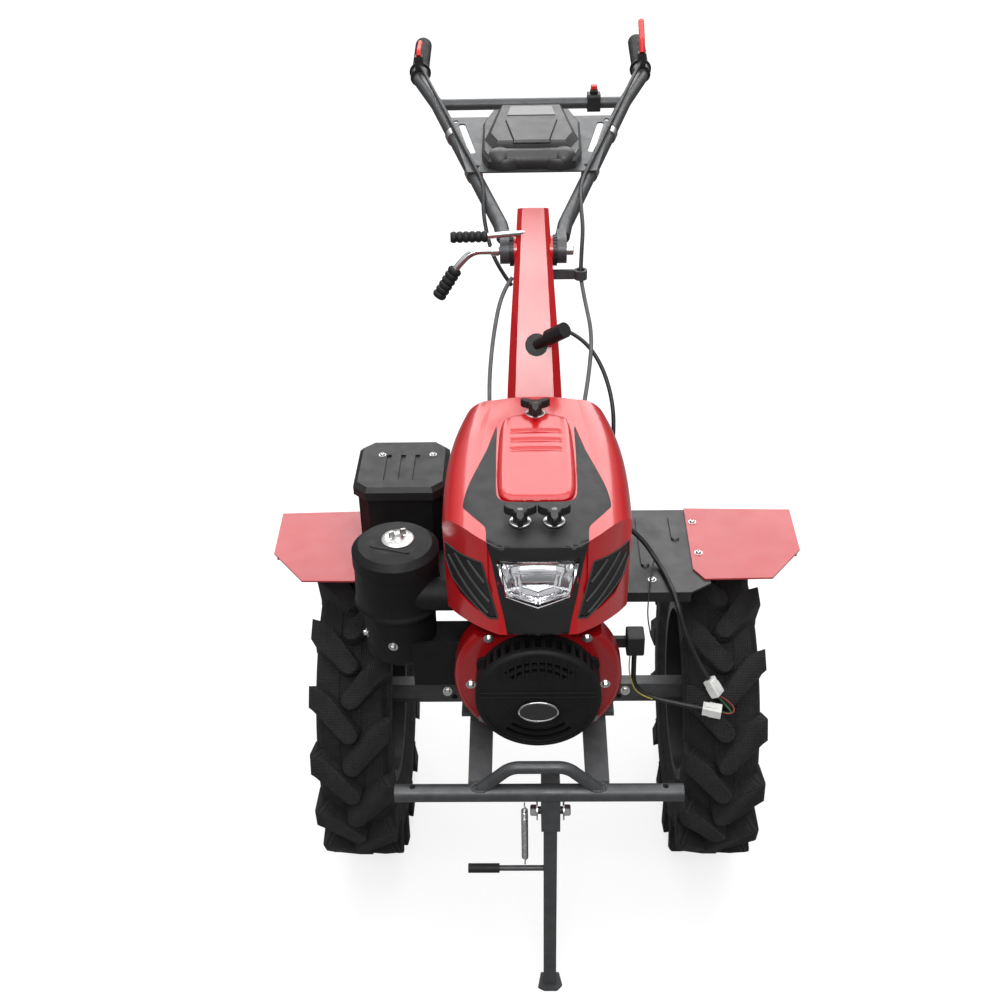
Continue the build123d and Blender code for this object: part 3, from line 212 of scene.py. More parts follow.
def tyre_rubber(side):
    """Rubber with a fine cloth-like mesh moulded over tread and walls."""
    material = new_material(f"tyre_rubber_{side}", Specular_IOR_Level=0.35)
    vary_roughness(material, 0.58, 0.76, 30)
    tree = material.node_tree
    split = tree.nodes.new("ShaderNodeSeparateXYZ")
    tree.links.new(place_in(tree), split.inputs["Vector"])
    middle = zip("XYZ", (WHEEL_X[side], AXLE_Y, AXLE_Z))
    across, behind, above = [arithmetic(tree, "SUBTRACT", split.outputs[axis], place)
                             for axis, place in middle]
    turn = arithmetic(tree, "ARCTAN2", behind, above)
    along = arithmetic(tree, "MULTIPLY", turn, TYRE_R * MM)
    squares = [arithmetic(tree, "MULTIPLY", value, value) for value in (behind, above)]
    outward = arithmetic(tree, "SQRT", arithmetic(tree, "ADD", *squares))
    threads = []
    for sign in ("ADD", "SUBTRACT"):
        slant = arithmetic(tree, sign, arithmetic(tree, "ADD", across, outward), along)
        phase = arithmetic(tree, "MULTIPLY", slant, 2 * pi / MESH_PITCH)
        threads.append(arithmetic(tree, "SINE", phase))
    weave = arithmetic(tree, "MULTIPLY", *threads)
    mixed = arithmetic(tree, "ADD", weave, arithmetic(tree, "MULTIPLY", noise(tree, 40), 1.2))
    share = between(tree, mixed, -0.4, 1.6, 0.0, 1.0)
    tint(material, share, (0.0055, 0.0055, 0.006), (0.046, 0.045, 0.046))
    add_bump(material, mixed, 0.0012)
    return material


def grip_rubber():
    return finish("grip_rubber", ((0.008, 0.008, 0.008), (0.014, 0.014, 0.014), 30), rough=(0.5, 0.7, 60),
                  bumps=(1200, 0.0002), Specular_IOR_Level=0.4)


def zinc():
    return finish("zinc", ((0.58, 0.58, 0.57), (0.74, 0.74, 0.72), 90), rough=(0.22, 0.38, 120),
                  bumps=(800, 0.00006), Metallic=1.0)


def chrome():
    return finish("chrome", ((0.7, 0.7, 0.71), (0.8, 0.8, 0.81), 40), rough=(0.05, 0.12, 60),
                  Metallic=1.0)


def cast():
    return finish("cast", ((0.045, 0.046, 0.048), (0.075, 0.076, 0.078), 30), rough=(0.46, 0.64, 50),
                  bumps=(420, 0.0005, 5.0), Metallic=0.55)


def lamp_glass():
    return finish("lamp_glass", ((0.95, 0.96, 0.97), (0.99, 0.99, 1.0), 20), rough=(0.01, 0.05, 50),
                  Transmission_Weight=1.0, IOR=1.45)


def white_plastic():
    return finish("white_plastic", ((0.7, 0.7, 0.68), (0.8, 0.8, 0.78), 80), rough=(0.36, 0.48, 100),
                  bumps=(900, 0.0001))


def lever_red():
    return finish("lever_red", ((0.6, 0.012, 0.008), (0.72, 0.022, 0.014), 20), rough=(0.34, 0.46, 40),
                  bumps=(900, 0.0002))


def cable_skin():
    return finish("cable_skin", ((0.01, 0.01, 0.011), (0.018, 0.018, 0.019), 60), rough=(0.38, 0.52, 80),
                  bumps=(700, 0.0002), Specular_IOR_Level=0.45)


def cable_grey():
    return finish("cable_grey", ((0.085, 0.087, 0.092), (0.125, 0.128, 0.134), 60), rough=(0.42, 0.56, 80),
                  bumps=(700, 0.0002), Specular_IOR_Level=0.45)


def wire_skin(name, dark, light):
    return finish(name, (dark, light, 90), rough=(0.34, 0.46, 90), Specular_IOR_Level=0.45)


def grey_plastic_painted_sheen():
    """Satin moulded dark grey plastic, lighter than the black mouldings: partly its own grey and partly
    painted sheen standing in for the light from above on the console and the lit edges of the vent ribs.
    """
    return finish("grey_plastic_painted_sheen", ((0.024, 0.024, 0.025), (0.034, 0.034, 0.035), 16),
                  rough=(0.34, 0.46, 40), bumps=(1300, 0.0002, 2.0), Specular_IOR_Level=0.55)


def fan_red():
    """Deeper red stove enamel of the engine's sheet metal."""
    return finish("fan_red", ((0.26, 0.002, 0.004), (0.34, 0.004, 0.007), 6), rough=(0.24, 0.36, 16),
                  bumps=(420, 0.00012), Coat_Weight=0.6, Coat_Roughness=0.12)


def engine_black():
    """Dull black of the engine's mouldings and castings."""
    return finish("engine_black", ((0.005, 0.005, 0.0055), (0.01, 0.01, 0.011), 18), rough=(0.46, 0.62, 40),
                  bumps=(1300, 0.0002, 2.0), Specular_IOR_Level=0.25)


def plate_black():
    """Blank gloss enamel."""
    return finish("plate_black", ((0.008, 0.008, 0.009), (0.013, 0.013, 0.014), 80), rough=(0.12, 0.22, 120),
                  Coat_Weight=0.5, Coat_Roughness=0.05)


MATERIALS = {make.__name__: make() for make in (
    red_paint, grey_paint, black_paint, black_plastic, grip_rubber, zinc, chrome, cast, lamp_glass,
    white_plastic, cable_skin, flap_paint, grey_plastic_painted_sheen, fan_red, engine_black, lever_red, cable_grey,
    plate_black)}
MATERIALS["wire_green"] = wire_skin("wire_green", (0.02, 0.1, 0.03), (0.03, 0.14, 0.05))
MATERIALS["wire_brown"] = wire_skin("wire_brown", (0.22, 0.03, 0.015), (0.28, 0.05, 0.02))
MATERIALS["wire_yellow"] = wire_skin("wire_yellow", (0.42, 0.34, 0.05), (0.5, 0.42, 0.08))
MATERIALS["tyre_left"] = tyre_rubber("left")
MATERIALS["tyre_right"] = tyre_rubber("right")
OWN_FINISH = {"fender_flaps": "flap_paint", "hand_levers": "lever_red", "tyre_left": "tyre_left",
              "tyre_right": "tyre_right", "fan_cover": "fan_red"}
for part in ("recoil_starter", "air_filter_body", "air_filter_bracket", "air_filter_lid", "engine_block",
             "battery_box"):
    OWN_FINISH[part] = "engine_black"


def paint_nodes():
    for row in frame["record"]["subparts"]:
        node = frame["nodes"][row["node"]]
        node.data.materials.clear()
        node.data.materials.append(MATERIALS[OWN_FINISH.get(row["node"], row["material_slot"])])


# Stage, light and camera
FLOOR_NEAR, FLOOR_FAR = 1.0, 2.4
FLOOR_HALF = 14.0


def stage_material():
    """Pale matt floor, lifted to white for the eye but darker where the object shades it."""
    material = new_material("stage_white", Roughness=0.9, Specular_IOR_Level=0.1)
    tree, shader = tree_of(material)
    rays = tree.nodes.new("ShaderNodeLightPath")
    reach = tree.nodes.new("ShaderNodeVectorMath")
    reach.operation = "LENGTH"
    tree.links.new(place_in(tree), reach.inputs[0])
    shade = between(tree, reach.outputs["Value"], FLOOR_NEAR, FLOOR_FAR, 0.28, 0.12)
    specks = arithmetic(tree, "MULTIPLY", noise(tree, 0.5), 0.02)
    tree.links.new(arithmetic(tree, "ADD", shade, specks), shader.inputs["Base Color"])
    lift = between(tree, reach.outputs["Value"], FLOOR_NEAR, FLOOR_FAR, 0.76, 1.0)
    shader.inputs["Emission Color"].default_value = (1, 1, 1, 1)
    glow = arithmetic(tree, "MULTIPLY", rays.outputs["Is Camera Ray"], lift)
    tree.links.new(glow, shader.inputs["Emission Strength"])
    return material


def build_stage():
    mesh = bpy.data.meshes.new("floor")
    corners = [(FLOOR_HALF * x, FLOOR_HALF * y, 0) for x, y in ((-1, -1), (1, -1), (1, 1), (-1, 1))]
    mesh.from_pydata(corners, [], [(0, 1, 2, 3)])
    floor = add_object("floor", mesh)
    floor.location.z = -0.0005
    mesh.materials.append(stage_material())


def build_world():
    """White behind everything; the object is lit by a room that darkens towards the floor."""
    world = bpy.data.worlds.new("studio")
    bpy.context.scene.world = world
    world.use_nodes = True
    tree = world.node_tree
    rays = tree.nodes.new("ShaderNodeLightPath")
    seen = arithmetic(tree, "MAXIMUM", rays.outputs["Is Camera Ray"], rays.outputs["Is Transmission Ray"])
    split = tree.nodes.new("ShaderNodeSeparateXYZ")
    tree.links.new(tree.nodes.new("ShaderNodeTexCoord").outputs["Generated"], split.inputs["Vector"])
    room = between(tree, split.outputs["Z"], 0.0, 0.75, 0.05, 0.80)
    background = tree.nodes["Background"]
    background.inputs["Color"].default_value = (1, 1, 1, 1)
    tree.links.new(arithmetic(tree, "MAXIMUM", seen, room), background.inputs["Strength"])


def area_light(name, place, target, size, power):
    light = bpy.data.lights.new(name, "AREA")
    light.shape = "RECTANGLE"
    light.size, light.size_y = size
    light.energy = power
    lamp = add_object(name, light)
    lamp.location = place
    lamp.rotation_euler = (Vector(target) - Vector(place)).to_track_quat("-Z", "Y").to_euler()


def build_light():
    area_light("back_panel", (0.2, 3.0, 2.9), (0, -0.2, 0.6), (4.2, 2.4), 95)
    area_light("top_panel", (0.0, -0.6, 3.6), (0, -0.2, 0.5), (3.0, 3.0), 48)
    area_light("front_panel", (0.02, -2.9, 3.05), (0, -0.15, 0.98), (1.3, 1.1), 48)


def build_camera():
    data = bpy.data.cameras.new("camera")
    data.lens = CAMERA_LENS
    data.sensor_width = CAMERA_SENSOR
    camera = add_object("camera", data)
    tilt = Matrix.Rotation(pi / 2 - CAMERA_PITCH, 4, "X")
    turn = Matrix.Rotation(CAMERA_YAW, 4, "Z") @ tilt @ Matrix.Rotation(CAMERA_ROLL, 4, "Z")
    camera.matrix_world = Matrix.Translation(CAMERA_PLACE) @ turn
    bpy.context.scene.camera = camera


# Mesh helpers: a shape is a list of points and a list of faces
def merged(shapes):
    points, faces = [], []
    for more_points, more_faces in shapes:
        base = len(points)
        points += more_points
        faces += [[base + corner for corner in face] for face in more_faces]
    return points, faces


def placed(shape, matrix):
    return [matrix @ Vector(point) for point in shape[0]], shape[1]


def facing(place, axis):
    """Frame at a place whose Z runs along an axis."""
    return Matrix.Translation(place) @ Vector(axis).to_track_quat("Z", "Y").to_matrix().to_4x4()


def full_turn(count):
    """Angles of even steps around a circle."""
    return [2 * pi * k / count for k in range(count)]


def turned(profile, steps):
    """Profile of (radius, height) pairs turned about Z."""
    points, faces = [], []
    for angle in full_turn(steps):
        points += [Vector((r * cos(angle), r * sin(angle), z)) for r, z in profile]
    count = len(profile)
    for step in range(steps):
        here, there = step * count, (step + 1) % steps * count
        faces += [[here + k, there + k, there + k + 1, here + k + 1] for k in range(count - 1)]
    return points, faces


def walls(rings, count):
    """Faces between rings that each have the same count of points."""
    faces = []
    for start in range(0, (rings - 1) * count, count):
        for k in range(count):
            after = start + (k + 1) % count
            faces.append([start + k, after, after + count, start + k + count])
    return faces


def swept(line, radius, sides):
    """Round bar with closed ends along a line of points."""
    points = []
    line = [Vector(point) for point in line]
    run = (line[1] - line[0]).normalized()
    across = run.orthogonal().normalized()
    for k, point in enumerate(line):
        ahead = (line[min(k + 1, len(line) - 1)] - line[max(k - 1, 0)]).normalized()
        across = (across - ahead * across.dot(ahead)).normalized()
        upward = ahead.cross(across)
        for angle in full_turn(sides):
            points.append(point + radius * (cos(angle) * across + sin(angle) * upward))
    last = (len(line) - 1) * sides
    ends = [list(range(sides)), list(range(last, last + sides))]
    return points, walls(len(line), sides) + ends


def rectangle(left, right, low, high):
    return [(left, low), (right, low), (right, high), (left, high)]


def prism(outline, low, high, inset=0.0):
    """Flat outline raised between two heights, its upper edge bevelled by the inset."""
    middle = sum((Vector((*point, 0)) for point in outline), Vector()) / len(outline)
    points = []
    for height, shrink in ((low, 0), (high - inset, 0), (high, inset)):
        for x, y in outline:
            towards = (middle - Vector((x, y, 0))).normalized() * shrink
            points.append(Vector((x, y, height)) + towards)
    count = len(outline)
    ends = [list(range(count))[::-1], list(range(2 * count, 3 * count))]
    return points, ends + walls(3, count)


def piece(name, shape, material, body="chassis", sharp=35):
    """Mesh object made from a shape, smooth apart from its sharp edges, that rides on a body."""
    mesh = bpy.data.meshes.new(name)
    mesh.from_pydata(shape[0], [], shape[1])
    edit = bmesh.new()
    edit.from_mesh(mesh)
    bmesh.ops.remove_doubles(edit, verts=edit.verts, dist=1e-6)
    bmesh.ops.recalc_face_normals(edit, faces=edit.faces)
    for face in edit.faces:
        face.smooth = True
    for edge in edit.edges:
        if len(edge.link_faces) == 2:
            edge.smooth = edge.calc_face_angle(0.0) < radians(sharp)
    edit.to_mesh(mesh)
    edit.free()
    mesh.materials.append(MATERIALS[material])
    thing = add_object(name, mesh)
    if body:
        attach(thing, body)
    return thing


def hex_bolt(size):
    """Hexagon head on its washer, by the width across the flats."""
    washer = turned([(0, 0), (0.95, 0), (0.95, 0.14), (0, 0.14)], 28)
    head = turned([(0, 0.14), (0.56, 0.14), (0.56, 0.62), (0.46, 0.74), (0, 0.74)], 6)
    return placed(merged([washer, head]), Matrix.Scale(size, 4))


def pan_screw(size):
    """Domed head with a round recess, by its radius."""
    profile = [(0, 0), (1.35, 0), (1.35, 0.16), (1, 0.2), (0.95, 0.5), (0.7, 0.78), (0.34, 0.86), (0.3, 0.5),
               (0, 0.5)]
    return placed(turned(profile, 28), Matrix.Scale(size, 4))


# Tyres with rounded tread bars, in millimetres
CARCASS_R, CARCASS_HALF, CROWN_DROP = 271, 63, 9
SHOULDER_SHARE, SHOULDER_DROP = 0.86, 24
LUGS, LUG_HALF, LUG_REACH, LUG_CROWN = 16, 66, 66.8, 2.4
LUG_ROOT_X, LUG_ROOT_R = 64.5, 238


def carcass_radius(x):
    """Outer radius of the carcass at a distance from the tyre's middle."""
    share = min(1.0, abs(x) / CARCASS_HALF)
    shoulder = max(0.0, share - SHOULDER_SHARE) / (1 - SHOULDER_SHARE)
    return CARCASS_R - CROWN_DROP * share ** 4 - SHOULDER_DROP * shoulder


def tyre_carcass():
    """Cut through the carcass as x and radius, closed at the bead."""
    wall = [(33, 154), (46, 154), (46.5, 168), (50, 180), (56, 193), (58.4, 196), (60, 198), (60.4, 201),
            (60.6, 204), (62, 207), (62.4, 210), (61.6, 213), (62.6, 224), (63, 236), (62, 246), (58, 257),
            (50, 264.5)]
    tread = [(38, 267.5), (26, 269.5), (19.5, 270.2), (18.5, 268.6), (16.5, 268.6), (15.5, 270.6), (2.2, 271),
             (1.4, 272.6)]
    right = wall + tread
    return right + [(-x, r) for x, r in reversed(right)] + [(-33, 154)]


def lug_outline():
    """Tread bar laid flat: across the tyre and along the tread, from the round head to the shoulder."""
    head, head_r = Vector((2, -36)), 14.5
    lean = atan2(55, 44)
    arc = [lean - pi / 2 - pi * k / 10 for k in range(11)]
    points = [head + head_r * Vector((cos(angle), sin(angle))) for angle in arc]
    return points + [Vector(p) for p in ((33, 29), (48, 40), (66, 46), (66, 11), (58, 5))]


def grown(outline, margin):
    """Outline moved outwards by a margin at every point."""
    moved = []
    for before, point, after in zip(outline[-1:] + outline[:-1], outline, outline[1:] + outline[:1]):
        run = (after - before).normalized()
        moved.append(point + margin * Vector((-run.y, run.x)))
    return moved


def lug_shape(turn, side):
    """Tread bar wrapped on the carcass, from its sunk foot to its rounded top."""
    outline = lug_outline()
    points = []
    for margin, height in ((4.5, None), (1.2, 291.5), (0.3, 295.2), (-2.2, 296.9)):
        for x, along in grown(outline, margin):
            x = max(-LUG_REACH, min(LUG_REACH, x))
            if height:
                radius = height - LUG_CROWN * (x / LUG_HALF) ** 2
            elif x > 60:
                x, radius = LUG_ROOT_X, LUG_ROOT_R
            else:
                radius = carcass_radius(x) - 3
            angle = along / TYRE_R - turn
            points.append(Vector((side * x, radius * sin(angle), radius * cos(angle))))
    count = len(outline)
    return points, [list(range(3 * count, 4 * count))] + walls(4, count)


def build_tyres():
    about_x = Matrix.Rotation(pi / 2, 4, "Y")
    for side in ("left", "right"):
        shapes = [placed(turned([(r, x) for x, r in tyre_carcass()], 128), about_x)]
        for step in range(LUGS):
            shapes.append(lug_shape(2 * pi * step / LUGS, 1))
            shapes.append(lug_shape(2 * pi * (step + 0.5) / LUGS, -1))
        middle = Vector((WHEEL_X[side], AXLE_Y, AXLE_Z))
        shape = placed(merged(shapes), Matrix.Translation(middle) @ SCALED)
        tyre = piece(f"tread_{side}", shape, f"tyre_{side}", f"wheel_{side}", 42)
        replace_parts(tyre, f"tyre_{side}")


# Stand spring as a coil between its pin and the pedal rod
def build_spring():
    low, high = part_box("stand_spring")
    middle = (low + high) / 2
    coil_r, wire_r, turns, hook = 0.0044, 0.0011, 38, 0.016
    steps = 14 * turns

    def on_axis(z):
        return Vector((middle.x, middle.y, z))

    line = [on_axis(high.z), on_axis(high.z - hook / 2)]
    for k in range(steps + 1):
        angle = 2 * pi * turns * k / steps
        height = high.z - hook - (high.z - low.z - 2 * hook) * k / steps
        x, y = middle.x + coil_r * cos(angle), middle.y + coil_r * sin(angle)
        line.append(Vector((x, y, height)))
    line += [on_axis(low.z + hook / 2), on_axis(low.z)]
    spring = piece("coil_spring", swept(line, wire_r, 8), "zinc", None)
    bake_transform(spring)
    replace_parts(spring, "stand_spring")


# Cables and leads
def spline_curve(name, route, radius):
    """Smooth open curve with the route's points as control points."""
    curve = bpy.data.curves.new(name, "CURVE")
    curve.dimensions = "3D"
    spline = curve.splines.new("NURBS")
    spline.points.add(len(route) - 1)
    for point, place in zip(spline.points, route):
        point.co = (*place, 1)
    spline.order_u = 3
    spline.use_endpoint_u = True
    spline.resolution_u = 10
    curve.bevel_depth = radius
    curve.bevel_resolution = 3
    curve.use_fill_caps = True
    return add_object(name, curve)


def spline_line(route):
    """Points along the smooth curve of a route."""
    guide = spline_curve("guide", route, 0.0)
    mesh = bpy.data.meshes.new_from_object(guide)
    line = [vertex.co.copy() for vertex in mesh.vertices]
    bpy.data.objects.remove(guide)
    bpy.data.meshes.remove(mesh)
    return line


def length_of(line):
    return sum((after - before).length for before, after in zip(line, line[1:]))


FENDER_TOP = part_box("fenders")[1].z / MM
LEAD_TOP = FENDER_TOP + 4.4
UPPER_ROUTE = [(116, -62, 716), (142, -58, 708), (176, -66, 680), (200, -84, LEAD_TOP + 1),
               (212, -128, LEAD_TOP), (221, -186, LEAD_TOP), (232, -204, 606), (252, -222, 560),
               (274, -237, 526)]
LOWER_ROUTE = [(152, -248, 595.9), (152, -248.2, 556), (154, -242, 518), (178, -243, 494),
               (226, -253.4, 488.2), (264, -262, 486)]


def connector(name, place, towards):
    """White plug housing: ribbed shell, collar and latch."""
    body, collar = rectangle(-9, 9, -6.5, 6.5), rectangle(-10, 10, -7, 7)
    latch = rectangle(-4, 4, 6, 9)
    shapes = [prism(body, 0, 24, 1), prism(collar, 10, 30, 0.8), prism(latch, 4, 26, 0.8)]
    shapes += [prism(rectangle(x - 0.8, x + 0.8, -7.4, -6), 12, 29, 0.2) for x in (-6, -2, 2, 6)]
    return piece(name, placed(merged(shapes), facing(place, towards) @ SCALED), "white_plastic")


def build_leads():
    plugs = [connector("plug_upper", at(274.5, -237.3, 525.3), (22, -15, -34)),
             connector("plug_lower", at(264.2, -262, 486), (38, -8.6, -2.2))]
    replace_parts(plugs[0], "lead_connectors")
    for name, points, plug in (("lead_upper", UPPER_ROUTE, plugs[0]), ("lead_lower", LOWER_ROUTE, plugs[1])):
        route = [at(*point) for point in points]
        lead = spline_curve(f"{name}_sleeve", route, 0.004)
        lead.data.materials.append(MATERIALS["cable_skin"])
        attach(lead, "chassis")
        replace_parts(lead, name)
        length_of(spline_line(route))


# Handlebar geometry of the part's source
PIVOT = (0, 244, 1062)
FIRST_BEND_X, FIRST_BEND_Y = 56.3, 324
CROSS = (188, 773, 1162)
GRIP_X, GRIP_FRONT_Y, GRIP_END_Y, GRIP_END_Z = 230, 882, 1049, 1215
BAR_RISE = (GRIP_END_Z - PIVOT[2]) / (GRIP_END_Y + 3 - PIVOT[1])
PLATE_RISE = (CROSS[2] - PIVOT[2]) / (CROSS[1] - PIVOT[1])
CABLE_R, CABLE_LIFT, CABLE_TIE_Y = 3.5, 20, 425
RING = (80, 225, 1026)


def tube_point(side, y, lift):
    """Point over a handlebar tube between its first bend and the cross tube, in millimetres."""
    low = Vector((side * FIRST_BEND_X, FIRST_BEND_Y, PIVOT[2] + BAR_RISE * (FIRST_BEND_Y - PIVOT[1])))
    high = Vector((side * CROSS[0], CROSS[1], CROSS[2]))
    share = (y - low.y) / (high.y - low.y)
    return low + (high - low) * share + lift * Vector((0, -PLATE_RISE, 1)).normalized()


def cable(name, route, material):
    shape = swept(spline_line([at(*point) for point in route]), CABLE_R * MM, 10)
    return piece(name, shape, material, None)


def build_cables():
    lower = {1: [(84, 350, 1102), (86, 290, 1084), (81.5, 240, 1060), (RING[0], RING[1], RING[2] + 4)],
             -1: [(-88, 366, 1094), (-80, 310, 1064), (-64, 262, 1030), (-37.6, 233.6, 1003.6)]}
    for side, name in ((1, "left"), (-1, "right")):
        upper = [(side * 229, 889, 1212), (side * 214, 846, 1204), (side * 203, 806, 1196)]
        waves = ((730, 0), (655, 2), (580, 0), (500, 2), (CABLE_TIE_Y, 0))
        upper += [tube_point(side, y, CABLE_LIFT + wave) for y, wave in waves]
        strand = cable(f"handle_cable_{name}", upper + lower[side], "cable_skin")
        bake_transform(strand)
        if side > 0:
            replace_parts(strand, "handle_cables")
    strands = [
        cable("engine_cable_left", [(RING[0], RING[1], RING[2] - 4), (RING[0] + 5, 208, 994), (98, 150, 950),
                                    (90, 84, 908), (78, 32, 866), (72.5, -0.9, 822.1)], "cable_grey"),
        cable("engine_cable_right", [(-36, 218, 1024), (-54, 200, 1006), (-68, 142, 956), (-75, 78, 906),
                                     (-74, 30, 862), (-72.2, -0.9, 822.1)], "cable_grey"),
        cable("engine_cable_arc", [(40, 178, 950), (74, 164, 944), (112, 128, 910), (132, 74, 858),
                                   (131, 44, 790), (122, 30, 714), (116, 26, 641)], "cable_skin"),
    ]
    for strand in strands:
        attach(strand, "chassis")
    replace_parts(strands[0], "engine_cables")


# Bolts, screws and nuts
FLAP_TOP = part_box("fender_flaps")[1].z / MM
LID_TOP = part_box("battery_lid")[1].z / MM
FAN_FRONT_Y, CRANK_Z = -340, 614
FILTER_X, FILTER_Y, BOWL_R = -215, -212, 56
SHROUD_BOLTS = ((101, -6), (84, -74), (72, 82))
WHEEL_NUTS, NUT_CIRCLE_R, RIM_FACE_X = 5, 50, 313.2
HUB_FLAT_R = 21


def build_set(name, shape, places, body="chassis"):
    """Zinc copies of one small part, each at a place and along an axis of the part's source."""
    copies = [placed(shape, facing(at(*place), axis) @ SCALED) for place, axis in places]
    piece(name, merged(copies), "zinc", body)


def build_bolts():
    up, front = (0, 0, 1), (0, -1, 0)
    screws = [((side * 271, y, FLAP_TOP), up) for side in (-1, 1) for y in (34, -58)]
    screws += [((side * 188, -128, FENDER_TOP), up) for side in (-1, 1)]
    build_set("fender_screws", pan_screw(5), screws)
    build_set("battery_screws", pan_screw(4.5), [((x, 50, LID_TOP), up) for x in (-258, -172)])
    shroud = [((side * x, FAN_FRONT_Y, CRANK_Z + z), front) for x, z in SHROUD_BOLTS for side in (-1, 1)]
    build_set("shroud_bolts", hex_bolt(8), shroud)
    bowl = []
    for angle in (radians(-68), radians(-8)):
        lean = (sin(angle), -cos(angle), 0)
        bowl.append(((FILTER_X + BOWL_R * lean[0], FILTER_Y + BOWL_R * lean[1], 622), lean))
    build_set("filter_bolts", hex_bolt(8), bowl)
    mounts = [((side * 106, y, 524.5), up) for side in (-1, 1) for y in (-262, -150)]
    build_set("engine_bolts", hex_bolt(13), mounts)
    pivot = [((18 + side * 19.4, -402, 405), (side, 0, 0)) for side in (-1, 1)]
    build_set("stand_bolt", hex_bolt(16), pivot)
    for side, name in ((1, "left"), (-1, "right")):
        flat = (0, -cos(pi / 6), sin(pi / 6))
        pin = [((side * 164, HUB_FLAT_R * flat[1], AXLE_Z / MM + HUB_FLAT_R * flat[2]), flat)]
        build_set(f"hub_bolt_{name}", hex_bolt(9), pin, f"wheel_{name}")
        nuts = []
        for turn in full_turn(WHEEL_NUTS):
            height = AXLE_Z / MM + NUT_CIRCLE_R * cos(turn)
            nuts.append(((side * RIM_FACE_X, -NUT_CIRCLE_R * sin(turn), height), (side, 0, 0)))
        nut = turned([(9.4, 0), (14, 0), (14, 9), (12.4, 11), (9.4, 11)], 6)
        build_set(f"wheel_nuts_{name}", nut, nuts, f"wheel_{name}")


# Blank oval plate on the pull starter
def oval(half_x, half_z, count=48):
    return [(half_x * cos(angle), half_z * sin(angle)) for angle in full_turn(count)]


def build_plate():
    lay = facing(at(0, -388.2, 596), (0, -1, 0)) @ SCALED
    plate = placed(prism(oval(28, 17), -0.6, 0.8, 0.6), lay)
    piece("starter_plate", plate, "plate_black")
    rim = [Vector((x, y, 0.6)) for x, y in oval(29, 18, 64)]
    piece("starter_plate_rim", placed(swept(rim + rim[:2], 1.5, 10), lay), "chrome")


# Weld beads where the loop meets the bumper bar
BUMPER_Y, BUMPER_Z, BUMPER_R = -425, 467, 13.5


def build_welds():
    """Ring of overlapping beads around each foot of the loop."""
    bead = turned([(0, -2.4), (2.2, -1.2), (2.8, 0), (2.2, 1.2), (0, 2.4)], 10)
    half_wide, half_deep = 13, 9.5
    beads = []
    for side in (-1, 1):
        foot = facing(at(side * 88, BUMPER_Y, BUMPER_Z + BUMPER_R - 1), (0, 0, 1))
        for angle in full_turn(22):
            spot = Vector((half_wide * cos(angle) * MM, half_deep * sin(angle) * MM, 0))
            beads.append(placed(bead, foot @ Matrix.Translation(spot) @ SCALED))
    piece("loop_welds", merged(beads), "grey_paint")


# Ribbed rubber grips over the plain sleeves
def build_grips():
    length = GRIP_END_Y - GRIP_FRONT_Y
    run = Vector((0, length, BAR_RISE * length)).normalized()
    reach = length / run.y + 3
    ribs, valley_r, ridge_r = 16, 16.6, 17.7
    start, pitch = 42, (reach - 46) / ribs
    profile = [(13.2, 34), (22, 34), (22.6, 37), (22, 40), (17, 41)]
    for k in range(ribs):
        low = start + pitch * k
        profile += [(valley_r, low), (ridge_r, low + 0.3 * pitch), (ridge_r, low + 0.6 * pitch),
                    (valley_r, low + 0.9 * pitch)]
    profile += [(17.4, reach - 3), (16, reach), (0, reach)]
    handles = []
    for side in (-1, 1):
        base = at(side * GRIP_X, GRIP_FRONT_Y, PIVOT[2] + BAR_RISE * (GRIP_FRONT_Y - PIVOT[1]))
        handles.append(placed(turned(profile, 36), facing(base, run) @ SCALED))
    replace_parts(piece("ribbed_grips", merged(handles), "grip_rubber", "handlebar", 60), "grips")


# Headlamp: chrome reflector behind the clear lens
LAMP_TOP, LAMP_LOW, LAMP_KNEE, LAMP_DEEP = 846, 776, 791.5, 24
LAMP_HALF_TOP, LAMP_HALF_KNEE = 57.5, 44.5
CHEVRON_Z, SHADE_Z, FLUTES = 793, 822, 11


def lamp_half(z):
    """Half width of the lamp opening at a height."""
    if z > LAMP_KNEE:
        share = (z - LAMP_KNEE) / (LAMP_TOP - LAMP_KNEE)
        return LAMP_HALF_KNEE + (LAMP_HALF_TOP - LAMP_HALF_KNEE) * share
    return max(0.5, LAMP_HALF_KNEE * (z - LAMP_LOW) / (LAMP_KNEE - LAMP_LOW))


def build_lamp():
    face_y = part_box("headlamp_bowl")[0].y / MM + 5
    columns, rows = 60, 44
    points, faces = [], []
    for row in range(rows + 1):
        z = LAMP_LOW + (LAMP_TOP - LAMP_LOW) * row / rows
        for column in range(columns + 1):
            share = 2 * column / columns - 1
            x = share * lamp_half(z)
            rim = min(1.0, 4 * min(row / rows, 1 - row / rows, (1 - abs(share)) / 2 + 0.001))
            flute = 0.8 * abs(sin(FLUTES * pi * share)) if abs(share) > 0.5 else 0.0
            chevron = CHEVRON_Z + 0.30 * (abs(x) - 40)
            ridge = 7 * exp(-((z - chevron) / 3.2) ** 2)
            shade = 5 * exp(-((z - SHADE_Z) / 5) ** 2) if abs(share) < 0.72 else 0.0
            depth = LAMP_DEEP * sqrt(rim) * (1 - 0.35 * share * share) - flute - ridge - shade
            points.append(Vector((x * MM, (face_y + max(1.0, depth)) * MM, z * MM)))
    for row in range(rows):
        for column in range(columns):
            corner = row * (columns + 1) + column
            faces.append([corner, corner + 1, corner + columns + 2, corner + columns + 1])
    reflector = piece("lamp_reflector", (points, faces), "chrome", sharp=30)
    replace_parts(reflector, "headlamp_bowl")


# Hand knobs on the hood
KNOB_PLACES = ((-24, -300), (24, -300), (0, -30))
KNOB_HUB_R, KNOB_WING = 10.5, 16


